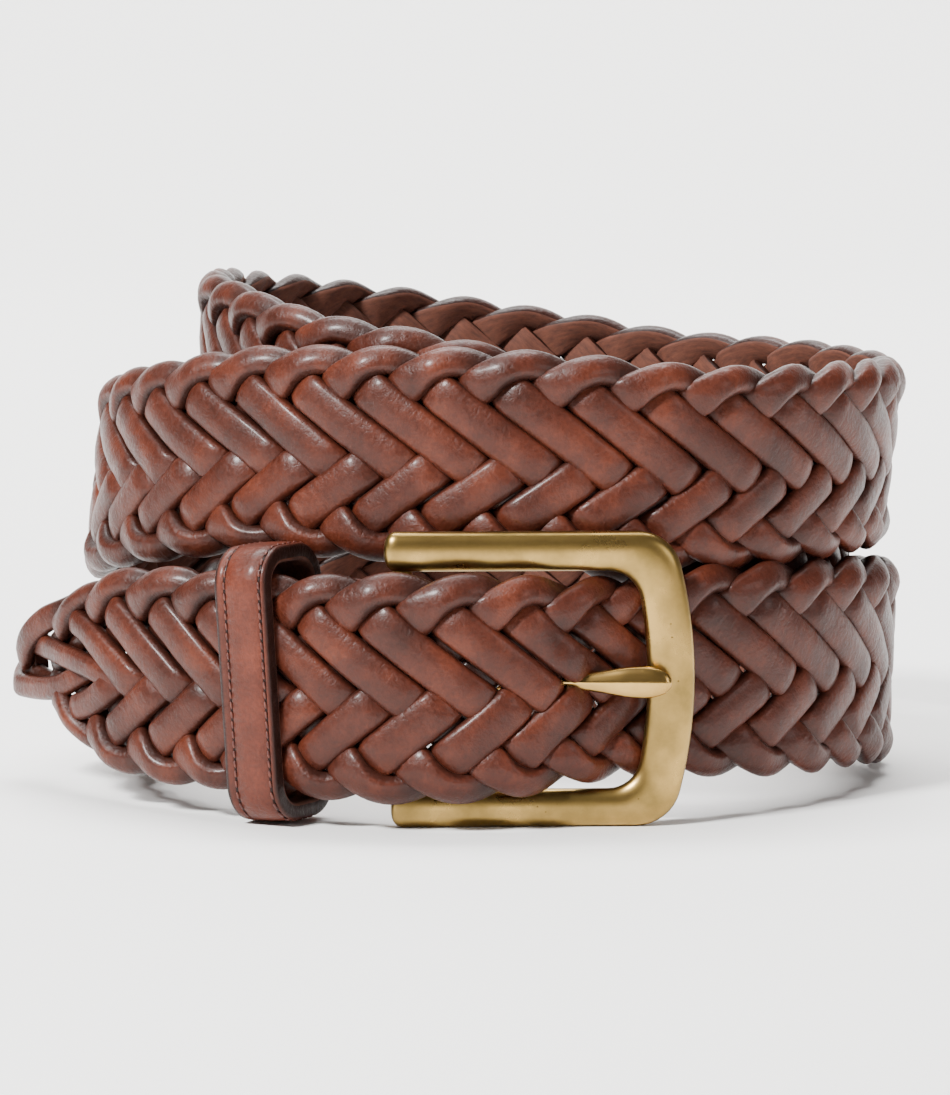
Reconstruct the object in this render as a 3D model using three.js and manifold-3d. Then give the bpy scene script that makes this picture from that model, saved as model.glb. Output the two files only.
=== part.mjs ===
// A braided leather belt, coiled in three turns, with a brass frame buckle.
// Millimetres, +Z up. The coil's front faces -Y, and turns are counted in degrees
// from the front, growing towards +X.
import * as THREE from 'three';
import { mergeVertices } from 'three/addons/utils/BufferGeometryUtils.js';
import Module from 'manifold-3d';

// Strap
const strapWidth = 32;
const strapThickness = 4.4;
const edgeThickness = 2.6;
const coilRadius = 63.5;
const braidPitch = 10.9;
const strandAngle = 34;
const ribDepth = 0.8;
const scallopDepth = 1.6;
const endFade = 36;

// Room left between two pieces that touch
const clearance = 0.4;

// Keeper loop
const keeperTurn = -30.5;
const keeperWidth = 9.2;
const keeperWall = 2.6;
const keeperCorner = 6;
const keeperHeightRoom = 1.5;
const keeperTilt = 4;

// Buckle frame
const frameLength = 39.8;
const frameRoom = 0.85;
const topBarWidth = 6.2;
const bottomBarWidth = 5.9;
const frontBarWidth = 6.4;
const frameDepth = 3.8;
const frameCorner = 7;
const innerCorner = 5;
const outerBow = 14;
const innerBow = 10;
const frameBevel = 1;
const topBarReach = 2.9;
const bottomBarReach = 1.9;
const barEndRadius = 1.6;
const heelRadius = 1.5;
const heelSetback = 1;
const heelTurn = -12.6;
const frameFacing = 2.5;

// Prong
const prongWidth = 3.4;
const prongTipWidth = 5;
const prongDepth = 2.6;
const prongEyeWall = 1.1;
const prongReach = 1.6;

// Chape, the fold of leather that holds the heel bar
const chapeWall = 1.2;
const chapeLength = 6;
const chapeSlotHeight = 5.4;
const chapeSlotLength = 9;

const frameOpening = strapWidth + 2 * frameRoom;
const openingMiddle = bottomBarWidth + frameOpening / 2;

// The strap's way round the coil: turn in degrees, radius as a share of coilRadius, width
// and lift of the lower edge as shares of strapWidth, lean of its upper edge outwards in
// degrees, lay as a share of braidPitch.
const freeEnd = [
  { turn: -78, radius: 1.222, width: 0.16, lift: 0.55, lean: 0, lay: 0.97 },
  { turn: -73, radius: 1.19, width: 0.42, lift: 0.435, lean: 0, lay: 0.97 },
  { turn: -65, radius: 1.157, width: 0.73, lift: 0.3, lean: 0, lay: 0.98 },
  { turn: -56, radius: 1.136, width: 1, lift: 0.165, lean: 0, lay: 1 },
  { turn: -46, radius: 1.12, width: 1.065, lift: 0.145, lean: 0, lay: 0.98 },
  { turn: -38, radius: 1.114, width: 1.07, lift: 0.147, lean: 0, lay: 0.9 },
  { turn: -30, radius: 1.112, width: 1.07, lift: 0.148, lean: 0, lay: 0.86 },
  { turn: -22, radius: 1.115, width: 1.08, lift: 0.145, lean: 0, lay: 0.92 },
  { turn: -14, radius: 1.117, width: 1.09, lift: 0.142, lean: 0, lay: 1 },
  { turn: -4, radius: 1.108, width: 1.085, lift: 0.15, lean: 0, lay: 1 },
];

// The stretch that passes through the frame: place as a share of frameLength from the heel
// bar to the front bar, drop of its middle below the opening's middle as a share of strapWidth.
const throughFrame = [
  { place: 0.417, radius: 1.085, width: 1.07, drop: 0.011, lay: 1 },
  { place: 0.577, radius: 1.056, width: 1, drop: 0.005, lay: 1 },
  { place: 0.684, radius: 1.028, width: 1, drop: 0.001, lay: 0.97 },
  { place: 0.817, radius: 1, width: 1, drop: -0.002, lay: 0.93 },
  { place: 0.977, radius: 0.984, width: 1.01, drop: -0.006, lay: 0.95 },
  { place: 1.191, radius: 0.988, width: 1.03, drop: -0.008, lay: 1 },
  { place: 1.538, radius: 1, width: 1.04, drop: 0.012, lay: 1.06 },
];

const coiled = [
  { turn: 70, radius: 1, width: 1.05, lift: 0.115, lean: 1.5, lay: 1.1 },
  { turn: 90, radius: 1, width: 1.05, lift: 0.035, lean: 2, lay: 1.08 },
  { turn: 120, radius: 1, width: 1, lift: 0, lean: 1, lay: 1.02 },
  { turn: 145, radius: 1, width: 1, lift: 0.03, lean: 0, lay: 1 },
  { turn: 180, radius: 1, width: 1, lift: 0.2, lean: 0, lay: 0.99 },
  { turn: 225, radius: 1, width: 1, lift: 0.531, lean: -4, lay: 0.99 },
  { turn: 270, radius: 1, width: 1, lift: 0.988, lean: -6, lay: 1 },
  { turn: 300, radius: 0.955, width: 1, lift: 1.174, lean: -5, lay: 1.02 },
  { turn: 325, radius: 0.905, width: 1.015, lift: 1.27, lean: -3.5, lay: 1.02 },
  { turn: 345, radius: 0.905, width: 1.03, lift: 1.265, lean: -1.5, lay: 1.02 },
  { turn: 365, radius: 0.925, width: 1.03, lift: 1.25, lean: 0.5, lay: 1.03 },
  { turn: 400, radius: 0.985, width: 0.99, lift: 1.2, lean: 4, lay: 1.04 },
  { turn: 425, radius: 1, width: 0.975, lift: 1.2, lean: 5.5, lay: 1.06 },
  { turn: 445, radius: 0.997, width: 0.965, lift: 1.17, lean: 6, lay: 1.1 },
  { turn: 500, radius: 0.972, width: 1, lift: 1.15, lean: 3, lay: 1.03 },
  { turn: 540, radius: 0.929, width: 1, lift: 1.31, lean: 0, lay: 1.04 },
  { turn: 570, radius: 0.857, width: 1, lift: 1.445, lean: 0, lay: 1.1 },
  { turn: 600, radius: 0.778, width: 1, lift: 1.54, lean: 0, lay: 1 },
  { turn: 630, radius: 0.72, width: 1, lift: 1.575, lean: 0, lay: 0.95 },
  { turn: 655, radius: 0.728, width: 1, lift: 1.555, lean: 0, lay: 0.95 },
  { turn: 685, radius: 0.785, width: 1, lift: 1.45, lean: 0, lay: 0.98 },
  { turn: 715, radius: 0.835, width: 1, lift: 1.33, lean: 0, lay: 1.02 },
  { turn: 765, radius: 0.88, width: 1, lift: 0.89, lean: 0, lay: 1 },
  { turn: 810, radius: 0.882, width: 1, lift: 0.485, lean: 0, lay: 1 },
  { turn: 855, radius: 0.872, width: 1, lift: 0.12, lean: 0, lay: 1 },
  { turn: 890, radius: 0.872, width: 1, lift: 0, lean: 0, lay: 1 },
  { turn: 960, radius: 0.872, width: 0.98, lift: 0, lean: 0, lay: 1 },
  { turn: 990, radius: 0.89, width: 0.95, lift: 0.02, lean: 0, lay: 1 },
  { turn: 1020, radius: 0.965, width: 0.93, lift: 0.12, lean: 0, lay: 1 },
  { turn: 1045, radius: 1.007, width: 0.93, lift: 0.2, lean: 0, lay: 1 },
  { turn: 1061, radius: 1.014, width: 0.93, lift: 0.244, lean: 0, lay: 1 },
];

// Heights across the strap, as shares of its half width, that carry a rib's line. Ribs run
// back from the apex to the loops, and the loops lean the other way.
const ribApex = -0.12;
const loopStart = 0.58;
const columns = [-0.35, ribApex, 0.2, loopStart];
const stationsPerPitch = 3;
const routeStep = 0.5;

const wasm = await Module();
wasm.setup();

function radians(degrees) {
  return THREE.MathUtils.degToRad(degrees);
}

// Slopes that keep a smooth curve through the rows from overshooting between them.
function rowSlopes(places, values) {
  const steps = [];
  for (let i = 0; i < places.length - 1; i += 1) {
    steps.push((values[i + 1] - values[i]) / (places[i + 1] - places[i]));
  }
  return places.map((place, i) => {
    if (i === 0) return steps[0];
    if (i === places.length - 1) return steps[i - 1];
    if (steps[i - 1] * steps[i] <= 0) return 0;
    return (2 * steps[i - 1] * steps[i]) / (steps[i - 1] + steps[i]);
  });
}

function curveThrough(places, values) {
  const slopes = rowSlopes(places, values);
  return (at) => {
    const inside = THREE.MathUtils.clamp(at, places[0], places[places.length - 1]);
    let i = 0;
    while (i < places.length - 2 && places[i + 1] < inside) i += 1;
    const span = places[i + 1] - places[i];
    const t = (inside - places[i]) / span;
    const a = values[i] * (1 + 2 * t) * (1 - t) ** 2 + values[i + 1] * t * t * (3 - 2 * t);
    return a + span * t * (1 - t) * (slopes[i] * (1 - t) - slopes[i + 1] * t);
  };
}

function frameRow(row) {
  const turn = heelTurn + THREE.MathUtils.radToDeg((row.place * frameLength) / coilRadius);
  return { ...row, turn, lift: openingMiddle / strapWidth - row.drop - row.width / 2, lean: 0 };
}

const route = [...freeEnd, ...throughFrame.map(frameRow), ...coiled];
const turns = route.map((row) => row.turn);
const shareOf = {};
for (const name of ['radius', 'width', 'lift', 'lean', 'lay']) {
  shareOf[name] = curveThrough(turns, route.map((row) => row[name]));
}
const radiusAt = (turn) => coilRadius * shareOf.radius(turn);
const widthAt = (turn) => strapWidth * shareOf.width(turn);
const liftAt = (turn) => strapWidth * shareOf.lift(turn);
const middleAt = (turn) => liftAt(turn) + widthAt(turn) / 2;

// A point of the strap: off is measured outwards from its middle, height from its centreline.
function strapPoint(turn, off, height) {
  const reach = radiusAt(turn);
  const slope = (radiusAt(turn + routeStep) - radiusAt(turn - routeStep)) / (2 * radians(routeStep));
  const size = Math.hypot(reach, slope);
  const out = new THREE.Vector2(Math.sin(radians(turn)), -Math.cos(radians(turn)));
  const along = new THREE.Vector2(Math.cos(radians(turn)), Math.sin(radians(turn)));
  const lean = radians(shareOf.lean(turn));
  const level = off * Math.cos(lean) + height * Math.sin(lean);
  const rise = height * Math.cos(lean) - off * Math.sin(lean);
  const x = out.x * (reach + (level * reach) / size) - (along.x * level * slope) / size;
  const y = out.y * (reach + (level * reach) / size) - (along.y * level * slope) / size;
  return new THREE.Vector3(x, y, middleAt(turn) + rise);
}

// The strap's length at each turn, and how many pitches of braid lie before it.
function measureRoute() {
  const rows = [];
  const first = turns[0];
  const last = turns[turns.length - 1];
  const count = Math.round((last - first) / routeStep);
  let length = 0;
  let phase = 0;
  let before = strapPoint(first, 0, 0);
  for (let i = 0; i <= count; i += 1) {
    const turn = first + ((last - first) * i) / count;
    const here = strapPoint(turn, 0, 0);
    const step = here.distanceTo(before);
    length += step;
    phase += step / (braidPitch * shareOf.lay(turn));
    rows.push({ turn, length, phase });
    before = here;
  }
  return rows;
}

const measured = measureRoute();

function lookUp(key, wanted, result) {
  const value = THREE.MathUtils.clamp(wanted, measured[0][key], measured[measured.length - 1][key]);
  let low = 0;
  let high = measured.length - 1;
  while (high - low > 1) {
    const mid = (low + high) >> 1;
    if (measured[mid][key] > value) high = mid;
    else low = mid;
  }
  const share = (value - measured[low][key]) / (measured[high][key] - measured[low][key]);
  return measured[low][result] + share * (measured[high][result] - measured[low][result]);
}

// How far along the strap a rib lies at a height, from where it crosses the apex.
function ribLead(height, half) {
  const rise = Math.tan(radians(strandAngle));
  const loop = loopStart * half;
  const held = THREE.MathUtils.clamp(height, -loop, loop);
  return (Math.abs(height - held) - Math.abs(held - ribApex * half)) / rise;
}

// Height of a rounded rib at a phase: 0 in the groove, 1 on the crown.
function ribCrown(phase) {
  return Math.abs(Math.sin(Math.PI * phase)) ** 0.7;
}

function closedMesh(points, faces) {
  const geometry = new THREE.BufferGeometry();
  const flat = new Float32Array(points.length * 3);
  points.forEach((point, i) => point.toArray(flat, i * 3));
  geometry.setAttribute('position', new THREE.BufferAttribute(flat, 3));
  geometry.setIndex(faces.flat());
  return geometry;
}

// Joins rings of points, all with the same count, into a skin closed by a fan at each end.
function skinOver(rings) {
  const points = rings.flat();
  const faces = [];
  const count = rings[0].length;
  for (let ring = 0; ring < rings.length - 1; ring += 1) {
    for (let i = 0; i < count; i += 1) {
      const a = ring * count + i;
      const b = ring * count + ((i + 1) % count);
      faces.push([a, a + count, b], [b, a + count, b + count]);
    }
  }
  for (const [ring, turnOver] of [[0, false], [rings.length - 1, true]]) {
    const centre = new THREE.Vector3();
    rings[ring].forEach((point) => centre.addScaledVector(point, 1 / count));
    points.push(centre);
    for (let i = 0; i < count; i += 1) {
      const a = ring * count + i;
      const b = ring * count + ((i + 1) % count);
      faces.push(turnOver ? [b, a, points.length - 1] : [a, b, points.length - 1]);
    }
  }
  return closedMesh(points, faces);
}

function toSolid(geometry) {
  const bare = geometry.clone();
  bare.deleteAttribute('normal');
  bare.deleteAttribute('uv');
  const merged = mergeVertices(bare, 1e-4);
  return new wasm.Manifold(new wasm.Mesh({
    numProp: 3,
    vertProperties: new Float32Array(merged.attributes.position.array),
    triVerts: new Uint32Array(merged.index.array),
  }));
}

function toGeometry(solid) {
  const mesh = solid.getMesh();
  const geometry = new THREE.BufferGeometry();
  geometry.setAttribute('position', new THREE.BufferAttribute(mesh.vertProperties, 3));
  geometry.setIndex(new THREE.BufferAttribute(mesh.triVerts, 1));
  return geometry;
}

// One ring of the strap: its outer face from the lower edge up, then its inner face back down.
function strapRing(phase, total) {
  const crown = (share) => ribCrown(phase + (Math.abs(share) > loopStart ? 0.5 : 0));
  const nearEnd = Math.min(phase, total - phase) * braidPitch;
  const fade = THREE.MathUtils.smoothstep(nearEnd, 0, endFade);
  const half = widthAt(lookUp('phase', phase, 'turn')) / 2;
  const place = (share, off, drop) => {
    const lead = (fade * ribLead(share * half, half)) / braidPitch;
    const turn = lookUp('phase', phase + lead, 'turn');
    const reach = widthAt(turn) / 2 - drop;
    return strapPoint(turn, off, share * reach);
  };
  const groove = scallopDepth * fade * Math.sin(Math.PI * phase) ** 2;
  const face = (share, side) => {
    const rib = side > 0 ? crown(share) : 1 - 0.7 * crown(share);
    return place(share, side * (strapThickness / 2 - ribDepth * (1 - rib)), 0);
  };
  const edge = (share, side) => place(share, (side * edgeThickness) / 2, groove);
  const shares = [-loopStart, ...columns];
  const outer = [edge(-1, 1), ...shares.map((share) => face(share, 1)), edge(1, 1)];
  const inner = [edge(1, -1), ...shares.toReversed().map((share) => face(share, -1)), edge(-1, -1)];
  return [...outer, ...inner];
}

function strapBody() {
  const total = measured[measured.length - 1].phase;
  const count = Math.round(total * stationsPerPitch);
  const rings = [];
  for (let i = 0; i <= count; i += 1) rings.push(strapRing((total * i) / count, total));
  return skinOver(rings);
}

// Where the heel bar and the frame's middle plane stand.
const overHeel = strapThickness / 2 + 2 * clearance + heelRadius + Math.max(prongEyeWall, chapeWall);
const heelReach = radiusAt(heelTurn) - overHeel;
const heel = new THREE.Vector2(heelReach * Math.sin(radians(heelTurn)), -heelReach * Math.cos(radians(heelTurn)));

// Puts a piece drawn with its length along X, its height along Y and its front towards -Z
// into the frame's place: X runs from the heel bar to the front bar.
function intoFrame(geometry) {
  geometry.rotateX(Math.PI / 2);
  geometry.translate(0, -heelSetback, 0);
  geometry.rotateZ(radians(frameFacing));
  geometry.translate(heel.x, heel.y, 0);
  return geometry;
}

// One side of the front bar: rounded corners at x, and between them a bow whose ends lean
// by so many degrees. It runs down the outer side and up the inner side.
function bowedSide(shape, x, low, high, corner, lean, down) {
  const angle = radians(lean);
  const middle = (low + high) / 2;
  const endX = x - corner + corner * Math.cos(angle);
  const endUp = high - corner + corner * Math.sin(angle) - middle;
  const start = down ? Math.PI / 2 : -Math.PI / 2;
  const first = down ? high - corner : low + corner;
  const second = down ? low + corner : high - corner;
  const turned = down ? angle : -angle;
  shape.absarc(x - corner, first, corner, start, turned, down);
  shape.quadraticCurveTo(endX + endUp * Math.tan(angle), middle, endX, middle + (down ? -endUp : endUp));
  shape.absarc(x - corner, second, corner, -turned, -start, down);
}

function frameOutline() {
  const top = bottomBarWidth + frameOpening + topBarWidth;
  const right = frameLength + frontBarWidth / 2;
  const inRight = frameLength - frontBarWidth / 2;
  const inTop = top - topBarWidth;
  const shape = new THREE.Shape();
  shape.moveTo(-topBarReach + barEndRadius, top);
  shape.lineTo(right - frameCorner, top);
  bowedSide(shape, right, 0, top, frameCorner, outerBow, true);
  shape.lineTo(-bottomBarReach + barEndRadius, 0);
  shape.absarc(barEndRadius - bottomBarReach, barEndRadius, barEndRadius, -Math.PI / 2, -Math.PI, true);
  shape.lineTo(-bottomBarReach, bottomBarWidth - barEndRadius);
  shape.absarc(barEndRadius - bottomBarReach, bottomBarWidth - barEndRadius, barEndRadius, Math.PI, Math.PI / 2, true);
  shape.lineTo(inRight - innerCorner, bottomBarWidth);
  bowedSide(shape, inRight, bottomBarWidth, inTop, innerCorner, innerBow, false);
  shape.lineTo(barEndRadius - topBarReach, inTop);
  shape.absarc(barEndRadius - topBarReach, inTop + barEndRadius, barEndRadius, -Math.PI / 2, -Math.PI, true);
  shape.lineTo(-topBarReach, top - barEndRadius);
  shape.absarc(barEndRadius - topBarReach, top - barEndRadius, barEndRadius, Math.PI, Math.PI / 2, true);
  return shape;
}

function buckleFrame() {
  const bars = new THREE.ExtrudeGeometry(frameOutline(), {
    depth: frameDepth - 2 * frameBevel,
    bevelEnabled: true,
    bevelThickness: frameBevel,
    bevelSize: frameBevel,
    bevelOffset: -frameBevel,
    bevelSegments: 2,
    curveSegments: 6,
  });
  bars.translate(0, 0, frameBevel - frameDepth / 2);
  const heelBar = new THREE.CylinderGeometry(heelRadius, heelRadius, frameOpening + bottomBarWidth, 16);
  heelBar.translate(0, openingMiddle, -heelSetback);
  return toGeometry(toSolid(intoFrame(bars)).add(toSolid(intoFrame(heelBar))));
}

// The prong's shape from the eye to its tip: at as a share of its length, width as a share
// of the way from prongWidth to prongTipWidth, depth as a share of prongDepth.
const prongSections = [
  { at: 0, width: 0, depth: 0.7 },
  { at: 0.1, width: 0, depth: 0.85 },
  { at: 0.5, width: 0, depth: 1 },
  { at: 0.75, width: 0.5, depth: 1 },
  { at: 0.92, width: 1, depth: 1 },
  { at: 0.975, width: 0.7, depth: 0.9 },
  { at: 1, width: -0.6, depth: 0.55 },
];

const prongLength = frameLength + prongReach;
const prongRise = frameDepth / 2 + clearance + prongDepth / 2 + heelSetback;

// Lays a piece drawn along X from the heel bar so that it rests on the front bar.
function ontoProngLine(geometry) {
  geometry.rotateY(Math.atan2(-prongRise, frameLength - frontBarWidth / 2 + frameBevel));
  geometry.translate(0, openingMiddle, -heelSetback);
  return intoFrame(geometry);
}

function prongSection(row) {
  const half = (prongWidth + row.width * (prongTipWidth - prongWidth)) / 2;
  const deep = (prongDepth * row.depth) / 2;
  const corners = [[-1, 0.3], [-0.35, 1], [0.35, 1], [1, 0.3], [1, -0.6], [0.7, -1], [-0.7, -1], [-1, -0.6]];
  return corners.map(([y, z]) => new THREE.Vector3(row.at * prongLength, y * half, z * deep));
}

function prongBody() {
  const shaft = skinOver(prongSections.map(prongSection));
  const eye = new THREE.Shape();
  eye.absarc(0, 0, heelRadius + clearance + prongEyeWall, 0, 2 * Math.PI, false);
  const bore = new THREE.Path();
  bore.absarc(0, 0, heelRadius + clearance, 0, 2 * Math.PI, true);
  const ringOptions = { depth: prongWidth, bevelEnabled: false, curveSegments: 9 };
  const hole = new THREE.Shape(bore.getPoints(9));
  const ring = eyeAlongHeel(new THREE.ExtrudeGeometry(eye, ringOptions));
  const through = eyeAlongHeel(new THREE.ExtrudeGeometry(hole, ringOptions));
  const joined = toSolid(ontoProngLine(shaft)).add(toSolid(ontoProngLine(ring)));
  return toGeometry(joined.subtract(toSolid(ontoProngLine(through))));
}

function eyeAlongHeel(geometry) {
  geometry.translate(0, 0, -prongWidth / 2);
  geometry.rotateX(Math.PI / 2);
  return geometry;
}

// The gap between strands that the prong comes through.
function prongSlot() {
  const room = 2 * clearance;
  const slot = new THREE.BoxGeometry(frameLength, prongTipWidth + room, prongDepth + room);
  slot.translate(frameLength / 2, 0, 0);
  return toSolid(ontoProngLine(slot));
}

function braidedStrap() {
  return toGeometry(toSolid(strapBody()).subtract(prongSlot()));
}

// The strap's free part lies over its buckle end, a whole number of turns further on.
function underTurn(turn) {
  return turn + 360 * Math.round((turns[turns.length - 1] - turn) / 360);
}

function keeperLoop() {
  const under = underTurn(keeperTurn);
  const bulge = keeperWidth ** 2 / (8 * radiusAt(keeperTurn));
  const inner = radiusAt(under) - strapThickness / 2 - clearance - bulge;
  const outer = radiusAt(keeperTurn) + strapThickness / 2 + clearance;
  const floor = Math.min(liftAt(keeperTurn), liftAt(under)) - keeperHeightRoom;
  const roof = Math.max(liftAt(keeperTurn) + widthAt(keeperTurn), liftAt(under) + widthAt(under)) + keeperHeightRoom;
  const box = (left, low, right, high, corner) => {
    const path = new THREE.Shape();
    path.moveTo(left + corner, low);
    path.absarc(right - corner, low + corner, corner, -Math.PI / 2, 0, false);
    path.absarc(right - corner, high - corner, corner, 0, Math.PI / 2, false);
    path.absarc(left + corner, high - corner, corner, Math.PI / 2, Math.PI, false);
    path.absarc(left + corner, low + corner, corner, Math.PI, 1.5 * Math.PI, false);
    return path;
  };
  const wall = keeperWall;
  const band = box(inner - wall, floor - wall, outer + wall, roof + wall, keeperCorner);
  band.holes.push(box(inner, floor, outer, roof, keeperCorner - wall));
  const loop = new THREE.ExtrudeGeometry(band, {
    depth: keeperWidth,
    bevelEnabled: false,
    curveSegments: 5,
  });
  const height = (floor + roof) / 2;
  loop.translate(0, -height, -keeperWidth / 2);
  loop.rotateX(Math.PI / 2);
  loop.rotateX(radians(keeperTilt));
  loop.translate(0, 0, height);
  loop.rotateZ(radians(keeperTurn - 90));
  return loop;
}

// A fold round the heel bar, whose two flaps lie on both faces of the strap's end.
function chapeBody() {
  const endTurn = turns[turns.length - 1];
  const under = endTurn - (chapeLength / radiusAt(endTurn)) * (180 / Math.PI);
  const near = strapThickness / 2 + clearance;
  const far = near + chapeWall;
  const flapTurns = [0, 0.25, 0.5, 0.75, 1].map((share) => under + share * (endTurn - under));
  const flat = (turn, off) => {
    const point = strapPoint(turn, off, 0);
    return new THREE.Vector2(point.x, point.y);
  };
  const around = (size, from, to, count) => {
    const points = [];
    for (let i = 0; i <= count; i += 1) {
      const angle = radians(from + ((to - from) * i) / count);
      points.push(new THREE.Vector2(heel.x + size * Math.cos(angle), heel.y + size * Math.sin(angle)));
    }
    return points;
  };
  const bore = heelRadius + clearance;
  const facing = endTurn % 360 - 360;
  const outline = [
    ...flapTurns.map((turn) => flat(turn, far)),
    ...around(bore + chapeWall, facing - 90, facing + 90, 10),
    ...flapTurns.toReversed().map((turn) => flat(turn, -far)),
    ...flapTurns.map((turn) => flat(turn, -near)),
    ...around(bore, facing + 90, facing - 90, 10),
    ...flapTurns.toReversed().map((turn) => flat(turn, near)),
  ];
  const high = widthAt(endTurn);
  const fold = new THREE.ExtrudeGeometry(new THREE.Shape(outline), { depth: high, bevelEnabled: false });
  fold.translate(0, 0, openingMiddle - high / 2);
  const slot = new THREE.BoxGeometry(2 * chapeSlotLength, 4 * far, chapeSlotHeight);
  slot.rotateZ(radians(facing));
  slot.translate(heel.x, heel.y, openingMiddle);
  return toGeometry(toSolid(fold).subtract(toSolid(slot)));
}

const finishes = {
  leather: { color: 0x6b3a2e, roughness: 0.55, metalness: 0 },
  darkLeather: { color: 0x5a2f27, roughness: 0.6, metalness: 0 },
  agedBrass: { color: 0xa08648, roughness: 0.38, metalness: 1 },
  polishedBrass: { color: 0xd9b66a, roughness: 0.2, metalness: 1 },
};

function addPiece(name, geometry, finish) {
  const mesh = new THREE.Mesh(geometry, new THREE.MeshStandardMaterial(finishes[finish]));
  mesh.name = name;
  return mesh;
}

const belt = new THREE.Group();
belt.add(
  addPiece('braided_strap', braidedStrap(), 'leather'),
  addPiece('keeper_loop', keeperLoop(), 'darkLeather'),
  addPiece('chape', chapeBody(), 'darkLeather'),
  addPiece('buckle_frame', buckleFrame(), 'agedBrass'),
  addPiece('prong', prongBody(), 'polishedBrass'),
);

// The origin is under the middle of the belt's box.
const bounds = new THREE.Box3().setFromObject(belt, true);
const middle = bounds.getCenter(new THREE.Vector3());
belt.position.set(-middle.x, -middle.y, -bounds.min.z);

export default belt;
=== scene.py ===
"""A braided leather belt with a brass frame buckle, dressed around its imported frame."""

import logging
import math
from dataclasses import dataclass, field
from enum import Enum
from typing import Any, ClassVar, Sequence

import bpy
import numpy as np
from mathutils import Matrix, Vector


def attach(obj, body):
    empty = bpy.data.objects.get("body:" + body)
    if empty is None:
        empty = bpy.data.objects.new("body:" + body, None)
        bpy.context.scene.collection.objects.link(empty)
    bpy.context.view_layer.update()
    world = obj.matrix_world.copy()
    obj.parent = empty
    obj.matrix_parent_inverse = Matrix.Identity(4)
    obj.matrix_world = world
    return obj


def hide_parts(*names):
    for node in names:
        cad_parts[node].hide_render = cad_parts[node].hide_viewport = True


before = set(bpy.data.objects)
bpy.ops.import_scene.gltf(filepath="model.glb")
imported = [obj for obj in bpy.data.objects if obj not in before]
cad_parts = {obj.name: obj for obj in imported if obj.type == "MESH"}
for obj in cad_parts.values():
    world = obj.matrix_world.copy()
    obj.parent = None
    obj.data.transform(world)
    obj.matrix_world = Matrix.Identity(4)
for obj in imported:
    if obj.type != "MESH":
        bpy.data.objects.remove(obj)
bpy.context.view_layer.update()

LOG = logging.getLogger("belt")
MM = 0.001

Array = np.ndarray
Item = bpy.types.Object
Material = bpy.types.Material
Socket = bpy.types.NodeSocket
Pair = tuple[float, float]


class Slot(Enum):
    """Names of the material slots."""

    BRAID = "braid_leather"
    LOOP = "loop_leather"
    AGED = "aged_brass"
    POLISHED = "polished_brass"


def linear(code: str) -> tuple[float, float, float, float]:
    """Turns an sRGB hex colour to a linear one.

    Args:
        code: six hex digits.

    Returns:
        Red, green, blue and alpha.
    """
    parts = [int(code[i:i + 2], 16) / 255 for i in (0, 2, 4)]
    red, green, blue = (c / 12.92 if c <= 0.04045 else ((c + 0.055) / 1.055) ** 2.4 for c in parts)
    return red, green, blue, 1.0


def per_size(size_mm: float) -> float:
    """The texture scale that repeats about once per size, on coordinates in metres."""
    return 1 / (size_mm * MM)


def add_node(
    tree: bpy.types.NodeTree,
    kind: str,
    settings: dict[str, Any] | None = None,
    inputs: dict[str | int, Any] | None = None,
    stops: Sequence[tuple[float, str]] = (),
) -> bpy.types.Node:
    """Adds a node with its settings and links.

    Args:
        tree: the material's node tree.
        kind: the node's type name.
        settings: the node's own options.
        inputs: a value, or an output socket to link, for each named input.
        stops: places and hex colours, on a node with a colour ramp.

    Returns:
        The new node.
    """
    node = tree.nodes.new(kind)
    for name, value in (settings or {}).items():
        setattr(node, name, value)
    for name, value in (inputs or {}).items():
        if isinstance(value, bpy.types.NodeSocket):
            tree.links.new(value, node.inputs[name])
        else:
            node.inputs[name].default_value = value
    for i, (place, code) in enumerate(stops):
        ramp = node.color_ramp.elements
        step = ramp[i] if i < 2 else ramp.new(place)
        step.position = place
        step.color = linear(code)
    return node


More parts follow.
